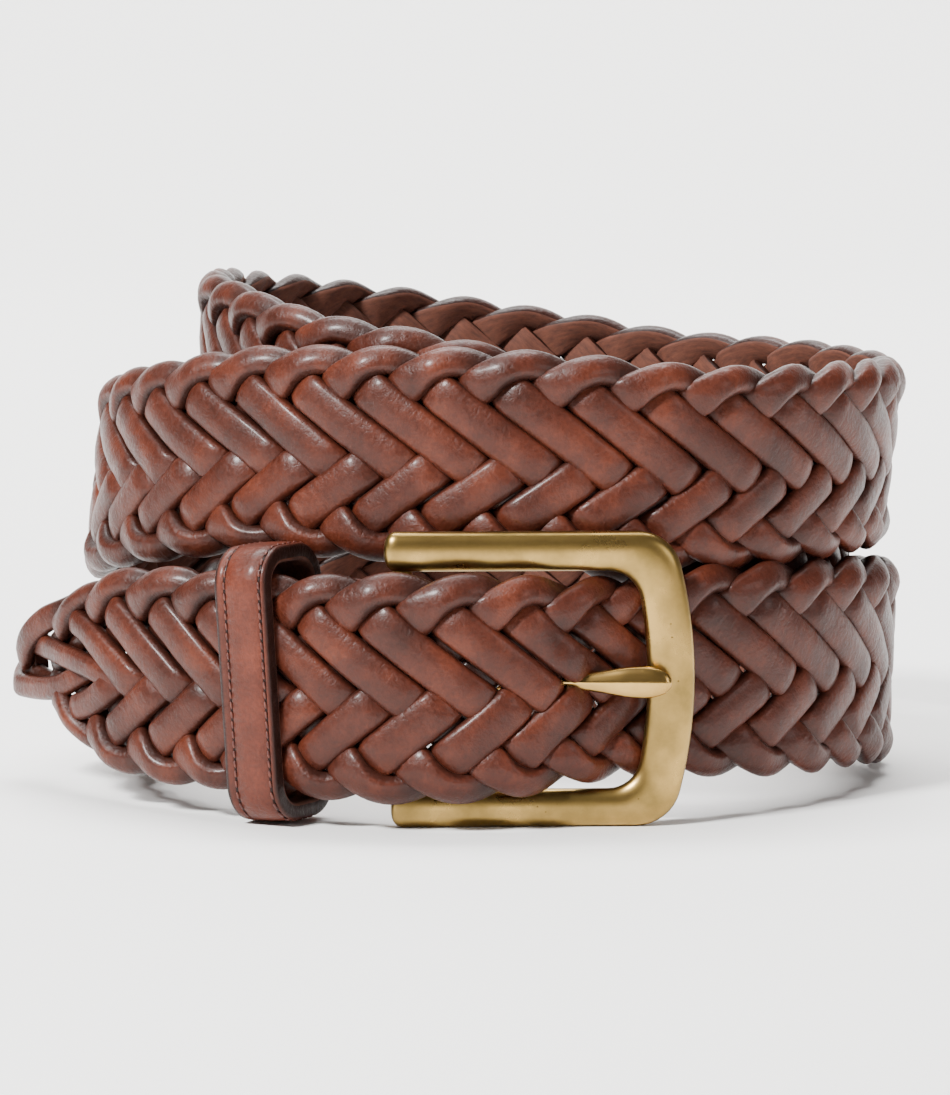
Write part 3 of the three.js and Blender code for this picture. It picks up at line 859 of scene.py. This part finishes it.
@dataclass
class BuckleFrame:
    """The cast frame, open at the left, with the heel bar between its two arms."""

    route: Route
    length: float = 39.8
    opening: float = 33.7
    top_width: float = 6.2
    bottom_width: float = 5.9
    front_width: float = 6.4
    depth: float = 3.8
    corner: float = 7.0
    inner_corner: float = 5.0
    outer_bow: float = 14.0
    inner_bow: float = 10.0
    top_reach: float = 2.9
    bottom_reach: float = 1.9
    heel_radius: float = 1.5
    heel_setback: float = 1.0
    over_heel: float = 5.7
    facing: float = 2.5
    dome: float = 2.2
    dome_fullness: float = 2.6
    end_share: float = 0.12
    squareness: float = 2.35

    @property
    def middle(self) -> float:
        """The height of the opening's middle."""
        return self.bottom_width + self.opening / 2

    @property
    def opening_top(self) -> float:
        """The height of the top bar's lower edge."""
        return self.bottom_width + self.opening

    @property
    def top(self) -> float:
        """The frame's height."""
        return self.opening_top + self.top_width

    def heel(self) -> Array:
        """Where the heel bar stands, about the coil's middle.

        Returns:
            A point at the height of the floor.
        """
        angle = math.radians(self.route.heel_turn)
        reach = float(self.route.radius(self.route.heel_turn)) - self.over_heel
        return np.array([reach * math.sin(angle), -reach * math.cos(angle), 0.0])

    def to_coil(self, points: Array) -> Array:
        """Moves points drawn along, up and forward from the heel bar into the coil.

        Args:
            points: points of the drawing.

        Returns:
            The points about the coil's middle.
        """
        along, up, front = points[..., 0], points[..., 1], points[..., 2] + self.heel_setback
        turn = math.radians(self.facing)
        x = along * math.cos(turn) + front * math.sin(turn)
        y = along * math.sin(turn) - front * math.cos(turn)
        return np.stack([x, y, up], -1) + self.heel()

    def side(self, x: float, low: float, high: float, corner: float, lean: float) -> Array:
        """One side of the front bar, from the upper corner's start to the lower corner's end.

        Args:
            x: where the corners end.
            low: height of the lower bar's edge.
            high: height of the upper bar's edge.
            corner: the corners' radius.
            lean: how far the bow's ends lean, in degrees.

        Returns:
            Points as pairs of along and up.
        """
        middle = (low + high) / 2
        turn = np.radians(np.linspace(90, lean, 9))
        round_x = x - corner + corner * np.cos(turn)
        arc = np.stack([round_x, high - corner + corner * np.sin(turn)], -1)
        start = arc[-1]
        peak = np.array([start[0] + (start[1] - middle) * math.tan(math.radians(lean)), middle])
        share = np.linspace(0, 1, 15)[1:-1, None]
        end = np.array([start[0], 2 * middle - start[1]])
        bow = start * (1 - share) ** 2 + 2 * peak * share * (1 - share) + end * share ** 2
        back = arc[::-1] * [1, -1] + [0, 2 * middle]
        return np.concatenate([arc, bow, back])

    def arm(self, reach: float, levels: Pair, ends: Pair) -> Array:
        """One arm, from its domed end to where the corner starts.

        Args:
            reach: how far it goes past the heel bar.
            levels: heights of its outer and inner edge.
            ends: where the two edges meet the corner.

        Returns:
            For each place the outer point, the inner point and how full the section is.
        """
        left = np.cos(np.linspace(0, math.pi / 2, 9))
        dome = -reach + self.dome * (1 - left)
        edges = []
        for level, end in zip(levels, ends):
            x = np.concatenate([dome, np.linspace(dome[-1], end, 14)[1:-1]])
            edges += [x, np.full_like(x, level)]
        full = np.ones(len(edges[0]))
        full[:len(dome)] = (1 - left ** self.dome_fullness) ** (1 / self.dome_fullness)
        full[0] = self.end_share
        return np.stack([*edges, full], -1)

    def outline(self) -> Array:
        """The arms and the front bar, from the upper arm's end to the lower arm's.

        Returns:
            For each place the outer point, the inner point and how full the section is.
        """
        right = self.length + self.front_width / 2
        in_right = self.length - self.front_width / 2
        ends = (right - self.corner, in_right - self.inner_corner)
        outer = self.side(right, 0, self.top, self.corner, self.outer_bow)
        inner = self.side(
            in_right, self.bottom_width, self.opening_top, self.inner_corner, self.inner_bow
        )
        front = np.concatenate([outer, inner, np.ones((len(outer), 1))], 1)
        upper = self.arm(self.top_reach, (self.top, self.opening_top), ends)
        lower = self.arm(self.bottom_reach, (0.0, self.bottom_width), ends)
        return np.concatenate([upper, front, lower[::-1]])

    def build(self, material: Material) -> None:
        """Builds the arms with the front bar, and the heel bar."""
        self.build_bars(material)
        self.build_heel(material)

    def build_bars(self, material: Material) -> None:
        """Builds the arms and the front bar as one skin.

        Args:
            material: its brass.
        """
        outline = self.outline()
        outer, inner, full = outline[:, :2], outline[:, 2:4], outline[:, 4]
        middle = (outer + inner) / 2
        half = (outer - inner) / 2 * full[:, None]
        turn = np.radians(np.arange(0, 360, 15))
        power = 2 / self.squareness
        wide = np.sign(np.cos(turn)) * np.abs(np.cos(turn)) ** power
        deep = np.sign(np.sin(turn)) * np.abs(np.sin(turn)) ** power * self.depth / 2
        flat = middle[:, None, :] + half[:, None, :] * wide[None, :, None]
        front = full[:, None] * deep[None, :]
        rings = self.to_coil(np.concatenate([flat, front[..., None]], -1))
        along = length_along(np.append(middle, full[:, None], 1))
        across = length_along(np.stack([wide * self.front_width / 2, deep], -1))
        skin = Skin("frame_bars", self.route.to_row(rings), along, across)
        fasten(skin.build([material]), Slot.AGED, "buckle_frame")

    def build_heel(self, material: Material) -> None:
        """Builds the round heel bar between the arms.

        Args:
            material: its brass.
        """
        stand = np.linspace(self.bottom_width / 2, self.opening_top + self.top_width / 2, 12)
        turn = np.radians(np.arange(0, 360, 15))[::-1]
        bar = np.zeros((len(stand), len(turn), 3))
        bar[..., 0] = self.heel_radius * np.cos(turn)
        bar[..., 1] = stand[:, None]
        bar[..., 2] = self.heel_radius * np.sin(turn) - self.heel_setback
        heel = Skin(
            "heel_bar", self.route.to_row(self.to_coil(bar)), stand, self.heel_radius * turn[::-1]
        )
        fasten(heel.build([material]), Slot.AGED, "buckle_frame")


@dataclass
class Prong:
    """The prong: an eye round the heel bar and a ridged blade that ends on the front bar."""

    buckle: BuckleFrame
    clearance: float = 0.4
    width: float = 3.4
    tip_width: float = 5.0
    depth: float = 2.6
    eye_wall: float = 1.1
    eye_corner: float = 0.4
    reach: float = 1.6
    bevel: float = 1.0

    # Places along the blade, with shares of the way from the width to the tip's width, and
    # of the depth.
    stations: ClassVar[tuple[tuple[float, float, float], ...]] = (
        (0.05, 0, 0.7), (0.12, 0, 0.9), (0.3, -0.3, 1), (0.55, -0.6, 1), (0.66, -0.45, 1),
        (0.76, 0.2, 1), (0.84, 0.85, 1), (0.895, 1, 1), (0.93, 0.85, 0.98), (0.955, 0.5, 0.92),
        (0.978, 0, 0.82), (0.992, -0.75, 0.66), (1, -1.5, 0.4),
    )
    # The blade's section, from one edge over the ridge to the other and back below.
    section: ClassVar[tuple[tuple[float, float], ...]] = (
        (-1, -0.15), (-0.98, 0.18), (-0.9, 0.4), (-0.74, 0.58), (-0.5, 0.75), (-0.25, 0.87),
        (-0.08, 0.97), (0.08, 0.97), (0.25, 0.87), (0.5, 0.75), (0.74, 0.58), (0.9, 0.4),
        (0.98, 0.18), (1, -0.15), (0.88, -0.72), (0.55, -1), (0, -1), (-0.55, -1), (-0.88, -0.72),
    )

    def line(self) -> tuple[Array, Array, Array]:
        """The blade's line in the buckle's drawing: start, direction and front.

        Returns:
            The start, and unit vectors along the blade and out of its ridge.
        """
        buckle = self.buckle
        rise = buckle.depth / 2 + self.clearance + self.depth / 2 + buckle.heel_setback
        run = buckle.length - buckle.front_width / 2 + self.bevel
        angle = math.atan2(rise, run)
        start = np.array([0.0, buckle.middle, -buckle.heel_setback])
        return (
            start,
            np.array([math.cos(angle), 0.0, math.sin(angle)]),
            np.array([-math.sin(angle), 0.0, math.cos(angle)]),
        )

    def build(self, material: Material) -> None:
        """Builds the blade and the eye."""
        self.build_blade(material)
        self.build_eye(material)

    def build_blade(self, material: Material) -> None:
        """Builds the ridged blade, widest just before its blunt tip.

        Args:
            material: its brass.
        """
        start, along, front = self.line()
        length = self.buckle.length + self.reach
        place, swell, thickness = np.array(self.stations).T
        places = np.unique(np.concatenate([place, np.linspace(0.05, 0.9, 18)]))
        half = (self.width + smooth_curve(place, swell, places) * (self.tip_width - self.width)) / 2
        deep = smooth_curve(place, thickness, places) * self.depth / 2
        section = np.array(self.section)
        middle = start + along * (places * length)[:, None]
        up = np.array([0.0, 1.0, 0.0])
        wide, thick = half[:, None] * section[:, 0], deep[:, None] * section[:, 1]
        rings = rings_along(middle, up, front, wide, thick)
        rings = self.buckle.route.to_row(self.buckle.to_coil(rings))[:, ::-1]
        blade = Skin("prong_blade", rings, places * length, length_along(section * self.width / 2))
        fasten(blade.build([material]), Slot.POLISHED, "prong")

    def build_eye(self, material: Material) -> None:
        """Builds the eye round the heel bar.

        Args:
            material: its brass.
        """
        start, along, front = self.line()
        radius = self.buckle.heel_radius + self.clearance + self.eye_wall / 2
        turn = np.radians(np.arange(0, 360, 12))[:, None]
        out = np.cos(turn) * along + np.sin(turn) * front
        path = start + radius * out
        band = round_section(self.width / 2, self.eye_wall / 2, self.eye_corner, 0.0)
        across, outward = frames_along(path, out, True)
        eye = sweep("prong_eye", path, across, outward, band, True)
        eye.rings = self.buckle.route.to_row(self.buckle.to_coil(eye.rings))
        eye.column_slots = ()
        fasten(eye.build([material]), Slot.POLISHED, "prong")


@dataclass(frozen=True)
class Stitch:
    """One rounded stitch, in millimetres."""

    length: float = 1.2
    width: float = 0.46
    height: float = 0.42
    sides: int = 6
    places: int = 7

    def points(self) -> Array:
        """The stitch's points, along, across and out from its middle.

        Returns:
            The points, ring by ring.
        """
        share = np.linspace(-1, 1, self.places)[:, None]
        full = np.sqrt(np.clip(1 - share ** 4, 0.02, 1))
        turn = np.linspace(0, 2 * math.pi, self.sides, endpoint=False)[None, :]
        along = np.repeat(share * self.length / 2, self.sides, 1)
        across = full * np.cos(turn) * self.width / 2
        out = full * np.sin(turn) * self.height / 2
        return np.stack([along, across, out], -1).reshape(-1, 3)

    def faces(self) -> list[list[int]]:
        """The stitch's faces, with its two ends.

        Returns:
            Lists of point numbers.
        """
        rows = []
        for i in range(self.places - 1):
            for j in range(self.sides):
                a, b = i * self.sides + j, i * self.sides + (j + 1) % self.sides
                rows.append([a, b, b + self.sides, a + self.sides])
        last = (self.places - 1) * self.sides
        return rows + [list(range(self.sides - 1, -1, -1)), list(range(last, last + self.sides))]


@dataclass
class KeeperLoop:
    """The stitched loop that holds the free end."""

    route: Route
    turn: float = -30.5
    turns_between: int = 3
    width: float = 9.2
    wall: float = 2.6
    corner: float = 6.0
    edge: float = 0.5
    crown: float = 0.25
    height_room: float = 1.5
    tilt: float = 4.0
    clearance: float = 0.4
    strap_depth: float = 4.4
    stitch: Stitch = Stitch()
    stitch_pitch: float = 1.5
    stitch_lift: float = 0.1
    stitch_slant: float = 0.14
    stitch_insets: Pair = (0.95, 2.0)
    burnish: float = 1.1
    groove_half: float = 0.25
    plain_places: Pair = (-0.3, 0.1)

    # The pressed line under a row of stitches: places across it, and how deep it is there.
    groove: ClassVar[tuple[tuple[float, float], ...]] = (
        (-0.36, 0), (-0.2, 0.2), (0, 0.3), (0.2, 0.2), (0.36, 0),
    )

    @property
    def rows(self) -> tuple[float, float]:
        """Where the two rows of stitches run across the band."""
        return self.stitch_insets[0] - self.width / 2, self.width / 2 - self.stitch_insets[1]

    def profile(self) -> Array:
        """The middle of the wall in the loop's own plane.

        Returns:
            For each place the distance from the coil's middle, the height, and the outward
            direction as a pair.
        """
        route = self.route
        over, under = self.turn, self.turn + self.turns_between * 360
        bulge = self.width ** 2 / (8 * float(route.radius(over)))
        near = self.strap_depth / 2 + self.clearance + self.wall / 2
        left = float(route.radius(under)) - near - bulge
        right = float(route.radius(over)) + near
        edges = [
            float(route.middle(turn) + side * route.half_width(turn))
            for turn in (over, under) for side in (-1, 1)
        ]
        low = min(edges) - self.height_room - self.wall / 2
        high = max(edges) + self.height_room + self.wall / 2
        corner = self.corner - self.wall / 2
        rows = []
        for x, y, first in (
            (right - corner, low + corner, -90), (right - corner, high - corner, 0),
            (left + corner, high - corner, 90), (left + corner, low + corner, 180),
        ):
            for angle in np.radians(np.linspace(first, first + 90, 9)):
                out = (math.cos(angle), math.sin(angle))
                rows.append((x + corner * out[0], y + corner * out[1], *out))
        table = np.array(rows + rows[:1])
        reach = length_along(table[:, :2])
        at = np.linspace(0, reach[-1], 121)[:-1]
        return np.stack([np.interp(at, reach, table[:, i]) for i in range(4)], -1)

    def outline(self) -> tuple[Array, Array, Array, Array]:
        """The middle of the loop's wall, once round.

        Returns:
            Points, outward directions, and the directions across and along the band.
        """
        profile = self.profile()
        angle, tilt = math.radians(self.turn), math.radians(self.tilt)
        radial = np.array([math.sin(angle), -math.cos(angle), 0.0])
        side = np.array([math.cos(angle), math.sin(angle), 0.0])
        upright = np.array([0, 0, math.cos(tilt)]) - side * math.sin(tilt)
        middle = (profile[:, 1].min() + profile[:, 1].max()) / 2
        reach, height, out_reach, out_height = profile.T[..., None]
        points = reach * radial + (height - middle) * upright + np.array([0, 0, middle])
        across, outward = frames_along(points, out_reach * radial + out_height * upright, True)
        return points, outward, across, np.cross(across, outward)

    def build(self, hide: Material, flesh: Material, thread: Material) -> None:
        """Builds the band, and the stitches in its pressed lines."""
        self.build_band(hide, flesh)
        self.build_stitches(thread)

    def build_band(self, hide: Material, flesh: Material) -> None:
        """Builds the band, darker in its lines and along its burnished edge.

        Args:
            hide: the grain side.
            flesh: the inner side.
        """
        points, out, across, _ = self.outline()
        half = self.width / 2
        flat = half - self.edge
        left, right = ([((row + d) / flat, press) for d, press in self.groove] for row in self.rows)
        face = [*left, *((place, 0) for place in self.plain_places), *right]
        section = round_section(half, self.wall / 2, self.edge, self.crown, face)
        band = sweep("keeper_band", points, across, out, section, True)
        band.rings = self.route.to_row(band.rings)
        grooves = np.min([np.abs(section[:, 0] - row) for row in self.rows], axis=0) < self.groove_half
        burnished = grooves | (section[:, 0] > half - self.burnish)
        marked = np.where(burnished & (section[:, 1] > 0), 1.0, rim_marks(section))
        band.marks["rim"] = np.tile(marked, len(points))
        fasten(band.build([hide, flesh]), Slot.LOOP, "keeper_loop")

    def build_stitches(self, thread: Material) -> None:
        """Builds both rows of stitches as one mesh.

        Args:
            thread: the thread's material.
        """
        ring = [np.concatenate([part, part[:1]]) for part in self.outline()]
        reach = length_along(ring[0])
        at = np.linspace(0, reach[-1], int(reach[-1] / self.stitch_pitch) + 1)[:-1]
        place, out, across, along = (
            np.stack([np.interp(at, reach, part[:, i]) for i in range(3)], -1) for part in ring
        )
        slanted = unit(along + self.stitch_slant * across)
        local = self.stitch.points()
        rows = []
        for row in self.rows:
            middle = place + across * row + out * (self.wall / 2 + self.stitch_lift)
            rings = rings_along(middle, across, out, local[:, 1], local[:, 2])
            rows.append(rings + slanted[:, None, :] * local[:, :1])
        points = self.route.to_row(np.concatenate(rows).reshape(-1, 3))
        shape = self.stitch.faces()
        starts = range(0, len(points), len(local))
        faces = [[v + start for v in face] for start in starts for face in shape]
        mesh = smooth_mesh("keeper_stitches", points, faces)
        fasten(place_object("keeper_stitches", mesh, [thread]), Slot.LOOP, "keeper_loop")


@dataclass
class Chape:
    """The fold of leather round the heel bar, with a slot for the prong."""

    buckle: BuckleFrame
    wall: float = 1.2
    length: float = 6.0
    slot_height: float = 5.4
    slot_length: float = 9.0
    clearance: float = 0.4
    strap_depth: float = 4.4

    def path(self) -> Array:
        """The fold seen from above: along the strap, round the heel bar and back.

        Returns:
            Points as pairs, about the coil's middle.
        """
        route = self.buckle.route
        end = float(route.turns[-1])
        under = end - math.degrees(self.length / float(route.radius(end)))
        off = self.strap_depth / 2 + self.clearance + self.wall / 2
        turns = np.linspace(under, end, 6)
        outer = route.point(turns, np.full(6, off), np.zeros(6))[:, :2]
        inner = route.point(turns, np.full(6, -off), np.zeros(6))[::-1, :2]
        facing = end % 360 - 360
        around = np.radians(np.linspace(facing - 90, facing + 90, 15))
        size = self.buckle.heel_radius + self.clearance + self.wall / 2
        fold = self.buckle.heel()[:2] + size * np.stack([np.cos(around), np.sin(around)], -1)
        return np.concatenate([outer, fold, inner])

    def build(self, hide: Material) -> None:
        """Builds the folded sheet, open at its slot, and gives it a thickness.

        Args:
            hide: its leather.
        """
        route = self.buckle.route
        path = self.path()
        half = float(route.half_width(route.turns[-1]))
        slot = self.slot_height / 2
        heights = np.concatenate([np.linspace(-half, -slot, 7), np.linspace(slot, half, 7)])
        rows, columns = len(path), len(heights)
        points = np.zeros((rows, columns, 3))
        points[..., :2] = path[:, None, :]
        points[..., 2] = self.buckle.middle + heights[None, :]
        near = np.linalg.norm(path - self.buckle.heel()[:2], axis=1) < self.slot_length
        faces = []
        for i in range(rows - 1):
            for j in range(columns - 1):
                in_slot = j == columns // 2 - 1 and (near[i] or near[i + 1])
                if not in_slot:
                    a = i * columns + j
                    faces.append([a, a + 1, a + columns + 1, a + columns])
        mesh = smooth_mesh("chape_fold", route.to_row(points), faces)
        item = place_object("chape_fold", mesh, [hide])
        thick = item.modifiers.new("thickness", "SOLIDIFY")
        thick.thickness = self.wall * MM
        thick.offset = 0
        fasten(item, Slot.LOOP, "chape")


@dataclass
class BraidedStrap:
    """The strap's strands, from the tip to the buckle end."""

    braid: Braid
    prong: Prong
    sway: float = 0.35
    width_sway: float = 0.05
    roll_sway: float = 3.0
    shift_seed: int = 10
    height_seed: int = 30
    roll_seed: int = 50
    width_seed: int = 70
    spread: Pair = (0.05, 2.0)
    edge_zone: Pair = (0.72, 1.0)
    packing: Pair = (0.86, 1.1)
    tip_share: float = 0.76
    tip_turns: Pair = (-80.0, -30.0)
    turn_narrowing: float = 0.24
    turn_thickening: float = 0.3
    # Painted shade of a diving strand: from none to full over this depth, in layers.
    dive_shade_range: Pair = (-0.2, 1.0)
    grain_shift: float = 200.0
    nose_cut: float = 0.85
    under_share: float = 0.98
    prong_room: float = 2.6
    part_rise: Pair = (3.2, 8.5)
    part_start: Pair = (2.0, 8.0)
    part_end: Pair = (44.0, 50.0)
    part_window: int = 9
    loop_thickening: float = 1.08
    loop_corner: float = 0.95
    loop_crown: float = 0.25
    loop_samples: int = 12
    # Painted shade of a diving tip loop: from none to full over this depth, in millimetres.
    loop_dive_shade: Pair = (-0.2, 1.4)
    loop_grain_shift: float = 90.0

    # The loops that close the tip: the width of each, then its places as turn, height above
    # the middle and distance outwards.
    nose: ClassVar[dict[str, tuple[float, tuple[tuple[float, float, float], ...]]]] = {
        "tip_loop": (4.4, (
            (-63.5, 9.5, -1.6), (-66.5, 9, -1.4), (-69, 8, -0.7), (-72.5, 6.5, 0.5),
            (-75.5, 4, 1.1), (-77.5, 1, 0.7), (-78.5, -1.5, -0.6), (-76, -3.5, -1.4),
            (-72.5, -4.5, -1.7),
        )),
        "tip_lower": (3.9, (
            (-76.5, -0.5, -1.7), (-81, -1.5, -1.4), (-83, -2.5, -0.3), (-79.5, -4, 0.9),
            (-73.5, -4.5, 1.3), (-68, -4, 1.2), (-64, -2, 0.5), (-62, -0.5, -0.9), (-60, 1, -1.6),
        )),
        "tip_upper": (3.9, (
            (-81, 2, -1.6), (-77, 2.5, -0.9), (-71.5, 2, 0.4), (-66, 1, 1.2), (-60, 0, 1.3),
            (-56, -1.5, 0.7), (-54.5, -2.5, -0.7), (-52.5, -3.5, -1.5),
        )),
    }

    def build(self, materials: Sequence[Material]) -> None:
        """Builds each strand and each of the tip's loops as its own piece.

        Args:
            materials: the grain side and the flesh side.
        """
        braid = self.braid
        for index in range(braid.strands):
            phase, rise, off = braid.strand(index)
            under = off < -self.under_share * braid.layer
            first = int(np.argmax((phase >= self.nose_cut) & under))
            skin = self.strip(index, phase[first:], rise[first:], off[first:])
            fasten(skin.build(materials), Slot.BRAID, "braided_strap")
        for index, (name, (width, rows)) in enumerate(self.nose.items()):
            skin = self.loop(name, index, width, np.array(rows))
            fasten(skin.build(materials), Slot.BRAID, "braided_strap")

    def loop(self, name: str, index: int, width: float, rows: Array) -> Skin:
        """Lofts one of the loops that close the tip.

        Args:
            name: the piece's name.
            index: which loop.
            width: its width.
            rows: its places.

        Returns:
            The loop's skin.
        """
        route = self.braid.route
        at = np.linspace(0, len(rows) - 1, self.loop_samples * len(rows))
        turn, height, off = (self.bend(column, at) for column in rows.T)
        path = route.point(turn, off, height)
        across, out = frames_along(path, route.axes(turn)[0])
        deep = self.loop_thickening * self.braid.strand_depth / 2
        section = round_section(width / 2, deep, self.loop_corner, self.loop_crown)
        skin = sweep(name, path, across, out, section)
        skin.rings = route.to_row(skin.rings)
        skin.along = skin.along + self.loop_grain_shift * index
        # A mark for painted shade, full where the loop lies deep behind the others.
        skin.marks["dive_shade"] = np.repeat(soft_step(*self.loop_dive_shade, -off), len(section))
        return skin

    @staticmethod
    def bend(values: Array, at: Array) -> Array:
        """Reads a rounder curve through a loop's places.

        Args:
            values: one value for each place.
            at: where to read it, counted in places.

        Returns:
            The curve's values.
        """
        slopes = np.gradient(values)
        i = np.clip(np.floor(at).astype(int), 0, len(values) - 2)
        t = at - i
        level = values[i] * (1 + 2 * t) * (1 - t) ** 2 + values[i + 1] * t * t * (3 - 2 * t)
        return level + t * (1 - t) * (slopes[i] * (1 - t) - slopes[i + 1] * t)

    def part(self, path: Array) -> Array:
        """Parts the strands in front of and behind the prong.

        Args:
            path: a strand's points, about the coil's middle.

        Returns:
            The points, pushed away from the prong's line.
        """
        start, along, front = self.prong.line()
        corners = (start, start + along, start + front)
        place, way, ahead = (self.prong.buckle.to_coil(corner) for corner in corners)
        way, ahead = unit(way - place), unit(ahead - place)
        reach = (path - place) @ way
        level = (path - place) @ ahead
        rise = np.abs(path[:, 2] - place[2])
        near = (
            (1 - soft_step(*self.part_rise, rise)) * soft_step(*self.part_start, reach)
            * (1 - soft_step(*self.part_end, reach))
        )
        want = np.sign(level) * np.maximum(np.abs(level), self.prong_room * near)
        window = np.hanning(self.part_window)
        spread = np.pad(want - level, self.part_window // 2, "edge")
        push = np.convolve(spread, window / window.sum(), "valid")
        return path + ahead * push[:, None]

    def strip(self, index: int, phase: Array, rise: Array, off: Array) -> Skin:
        """Lofts a strand's section along its way.

        Args:
            index: which strand, for its name and its own unevenness.
            phase: phase along the strap.
            rise: height across it.
            off: distance outwards.

        Returns:
            The strand's skin.
        """
        braid, route = self.braid, self.braid.route
        shift = Wander(self.shift_seed + index).read(phase, self.sway / route.pitch)
        turn = route.turn_at(np.clip(phase + shift, 0, route.phases[-1]))
        half = braid.strand_width / 2
        room = route.strap_width / 2 - half
        share = np.clip((route.half_width(turn) - half) / room, *self.spread)
        height = rise * share + Wander(self.height_seed + index).read(phase, self.sway / 2)
        path = self.part(route.point(turn, off, height))
        across, out = frames_along(path, route.axes(turn)[0])
        edge = braid.height(np.zeros(1))[0]
        top, low = (soft_step(*self.edge_zone, side * rise / edge) for side in (1, -1))
        rolled = braid.roll * (low - top) + Wander(self.roll_seed + index).read(phase, self.roll_sway)
        lean = np.radians(rolled)[:, None]
        turned_across = across * np.cos(lean) + out * np.sin(lean)
        turned_out = out * np.cos(lean) - across * np.sin(lean)
        section = round_section(half, braid.strand_depth / 2, braid.corner, braid.crown)
        wide = section[None, :, 0] * self.widths(index, phase, turn, top + low)[:, None]
        deep = section[None, :, 1] * (1 + self.turn_thickening * (top + low))[:, None]
        rings = rings_along(path, turned_across, turned_out, wide, deep)
        # A mark for painted shade, full where the strand dives under its neighbours.
        dive_shade = soft_step(*self.dive_shade_range, -off / braid.layer)
        marks = {"rim": np.tile(rim_marks(section), len(phase)), "dive_shade": np.repeat(dive_shade, len(section))}
        along = length_along(path) + self.grain_shift * index
        slots = inner_columns(section)
        name = f"strand_{index + 1}"
        return Skin(name, route.to_row(rings), along, length_along(section), marks, slots)

    def widths(self, index: int, phase: Array, turn: Array, bent: Array) -> Array:
        """How wide a strand is along its way.

        Args:
            index: which strand.
            phase: phase along the strap.
            turn: turn round the coil.
            bent: how far it is into a turn at the strap's edge, from 0 to 1.

        Returns:
            Shares of the strand's full width.
        """
        route = self.braid.route
        drawn = self.tip_share + (1 - self.tip_share) * soft_step(*self.tip_turns, turn)
        packed = np.clip(route.share("lay", turn) * route.share("width", turn), *self.packing)
        sway = 1 + Wander(self.width_seed + index).read(phase, self.width_sway)
        return (1 - self.turn_narrowing * bent) * drawn * packed * sway


@dataclass(frozen=True)
class Lamp:
    """A square soft light, in metres and watts."""

    name: str
    place: tuple[float, float, float]
    target: tuple[float, float, float]
    size: float
    power: float

    def hang(self) -> None:
        """Hangs the light in the scene."""
        lamp = bpy.data.lights.new(self.name, "AREA")
        lamp.shape = "SQUARE"
        lamp.size = self.size
        lamp.energy = self.power
        item = bpy.data.objects.new(self.name, lamp)
        item.location = self.place
        aim = Vector(self.target) - Vector(self.place)
        item.rotation_euler = aim.to_track_quat("-Z", "Y").to_euler()
        bpy.context.scene.collection.objects.link(item)


BELT_MIDDLE = (0.0, 0.0, 0.04)
LAMPS = (
    Lamp("key", (-0.75, -0.8, 1.0), BELT_MIDDLE, 0.24, 50.0),
    Lamp("fill", (1.1, -0.9, 0.6), BELT_MIDDLE, 0.5, 4.0),
    Lamp("top", (0.05, 0.15, 1.4), BELT_MIDDLE, 0.8, 9.0),
    Lamp("backdrop", (0.0, 0.9, 2.2), (0.0, 2.6, 0.4), 1.6, 190.0),
)


@dataclass
class Studio:
    """A plain pale sweep, four soft lights and the camera."""

    camera_at: tuple[float, float, float] = (2.35, -873.03, 128.75)
    down: float = 6.007
    lens: float = 175.1
    sensor: float = 36.0
    floor_colour: str = "faf9f7"
    world_light: float = 0.1
    floor_front: float = -3.0
    bend_start: float = 1.6
    bend_radius: float = 1.2
    bend_steps: int = 12
    backdrop_top: float = 4.0
    half_width: float = 4.0

    def build(self) -> None:
        """Places the sweep, the lights and the camera."""
        self.sweep()
        for lamp in LAMPS:
            lamp.hang()
        world = bpy.data.worlds.new("studio")
        world.use_nodes = True
        back = world.node_tree.nodes["Background"]
        back.inputs["Color"].default_value = linear("ffffff")
        back.inputs["Strength"].default_value = self.world_light
        bpy.context.scene.world = world
        self.camera()

    def sweep(self) -> None:
        """Lays a floor that curves up into a backdrop far behind."""
        turn = np.linspace(0, math.pi / 2, self.bend_steps + 1)
        back = self.bend_start + self.bend_radius * np.sin(turn)
        up = self.bend_radius * (1 - np.cos(turn))
        outline = [(self.floor_front, 0.0), *zip(back, up), (back[-1], self.backdrop_top)]
        points = [(x, y, z) for y, z in outline for x in (-self.half_width, self.half_width)]
        faces = [(2 * i, 2 * i + 1, 2 * i + 3, 2 * i + 2) for i in range(len(outline) - 1)]
        mesh = smooth_mesh("sweep", np.array(points), faces)
        inputs = {"Base Color": linear(self.floor_colour), "Roughness": 0.9}
        paper = Shading("pale_paper").surface(inputs)
        place_object("sweep", mesh, [paper])

    def camera(self) -> None:
        """Stands the camera where the picture was taken from."""
        lens = bpy.data.cameras.new("camera")
        lens.lens = self.lens
        lens.sensor_width = self.sensor
        item = bpy.data.objects.new("camera", lens)
        item.location = [c * MM for c in self.camera_at]
        item.rotation_euler = (math.radians(90 - self.down), 0, 0)
        bpy.context.scene.collection.objects.link(item)
        bpy.context.scene.camera = item


def main() -> None:
    """Builds the belt's pieces in order, and the studio around them."""
    logging.basicConfig(level=logging.INFO, format="%(name)s %(message)s")
    Studio().build()
    route = Route()
    hide = DyedLeather().make()
    flesh = FleshSide().make()
    buckle = BuckleFrame(route)
    prong = Prong(buckle)
    BraidedStrap(Braid(route), prong).build([hide, flesh])
    smooth = DyedLeather(
        name="smooth_cowhide_burnished_edges", light="6c3322", body="522417", cloud_mm=14.0,
        edge_share=0.95, roughness=0.44,
    ).make()
    KeeperLoop(route).build(smooth, flesh, WaxedThread().make())
    Chape(buckle).build(smooth)
    buckle.build(CastBrass().make())
    polished = CastBrass(name="polished_brass", bright="cfa864", tarnish="ad8a4c", roughness=0.23)
    prong.build(polished.make())


if __name__ == "__main__":
    main()
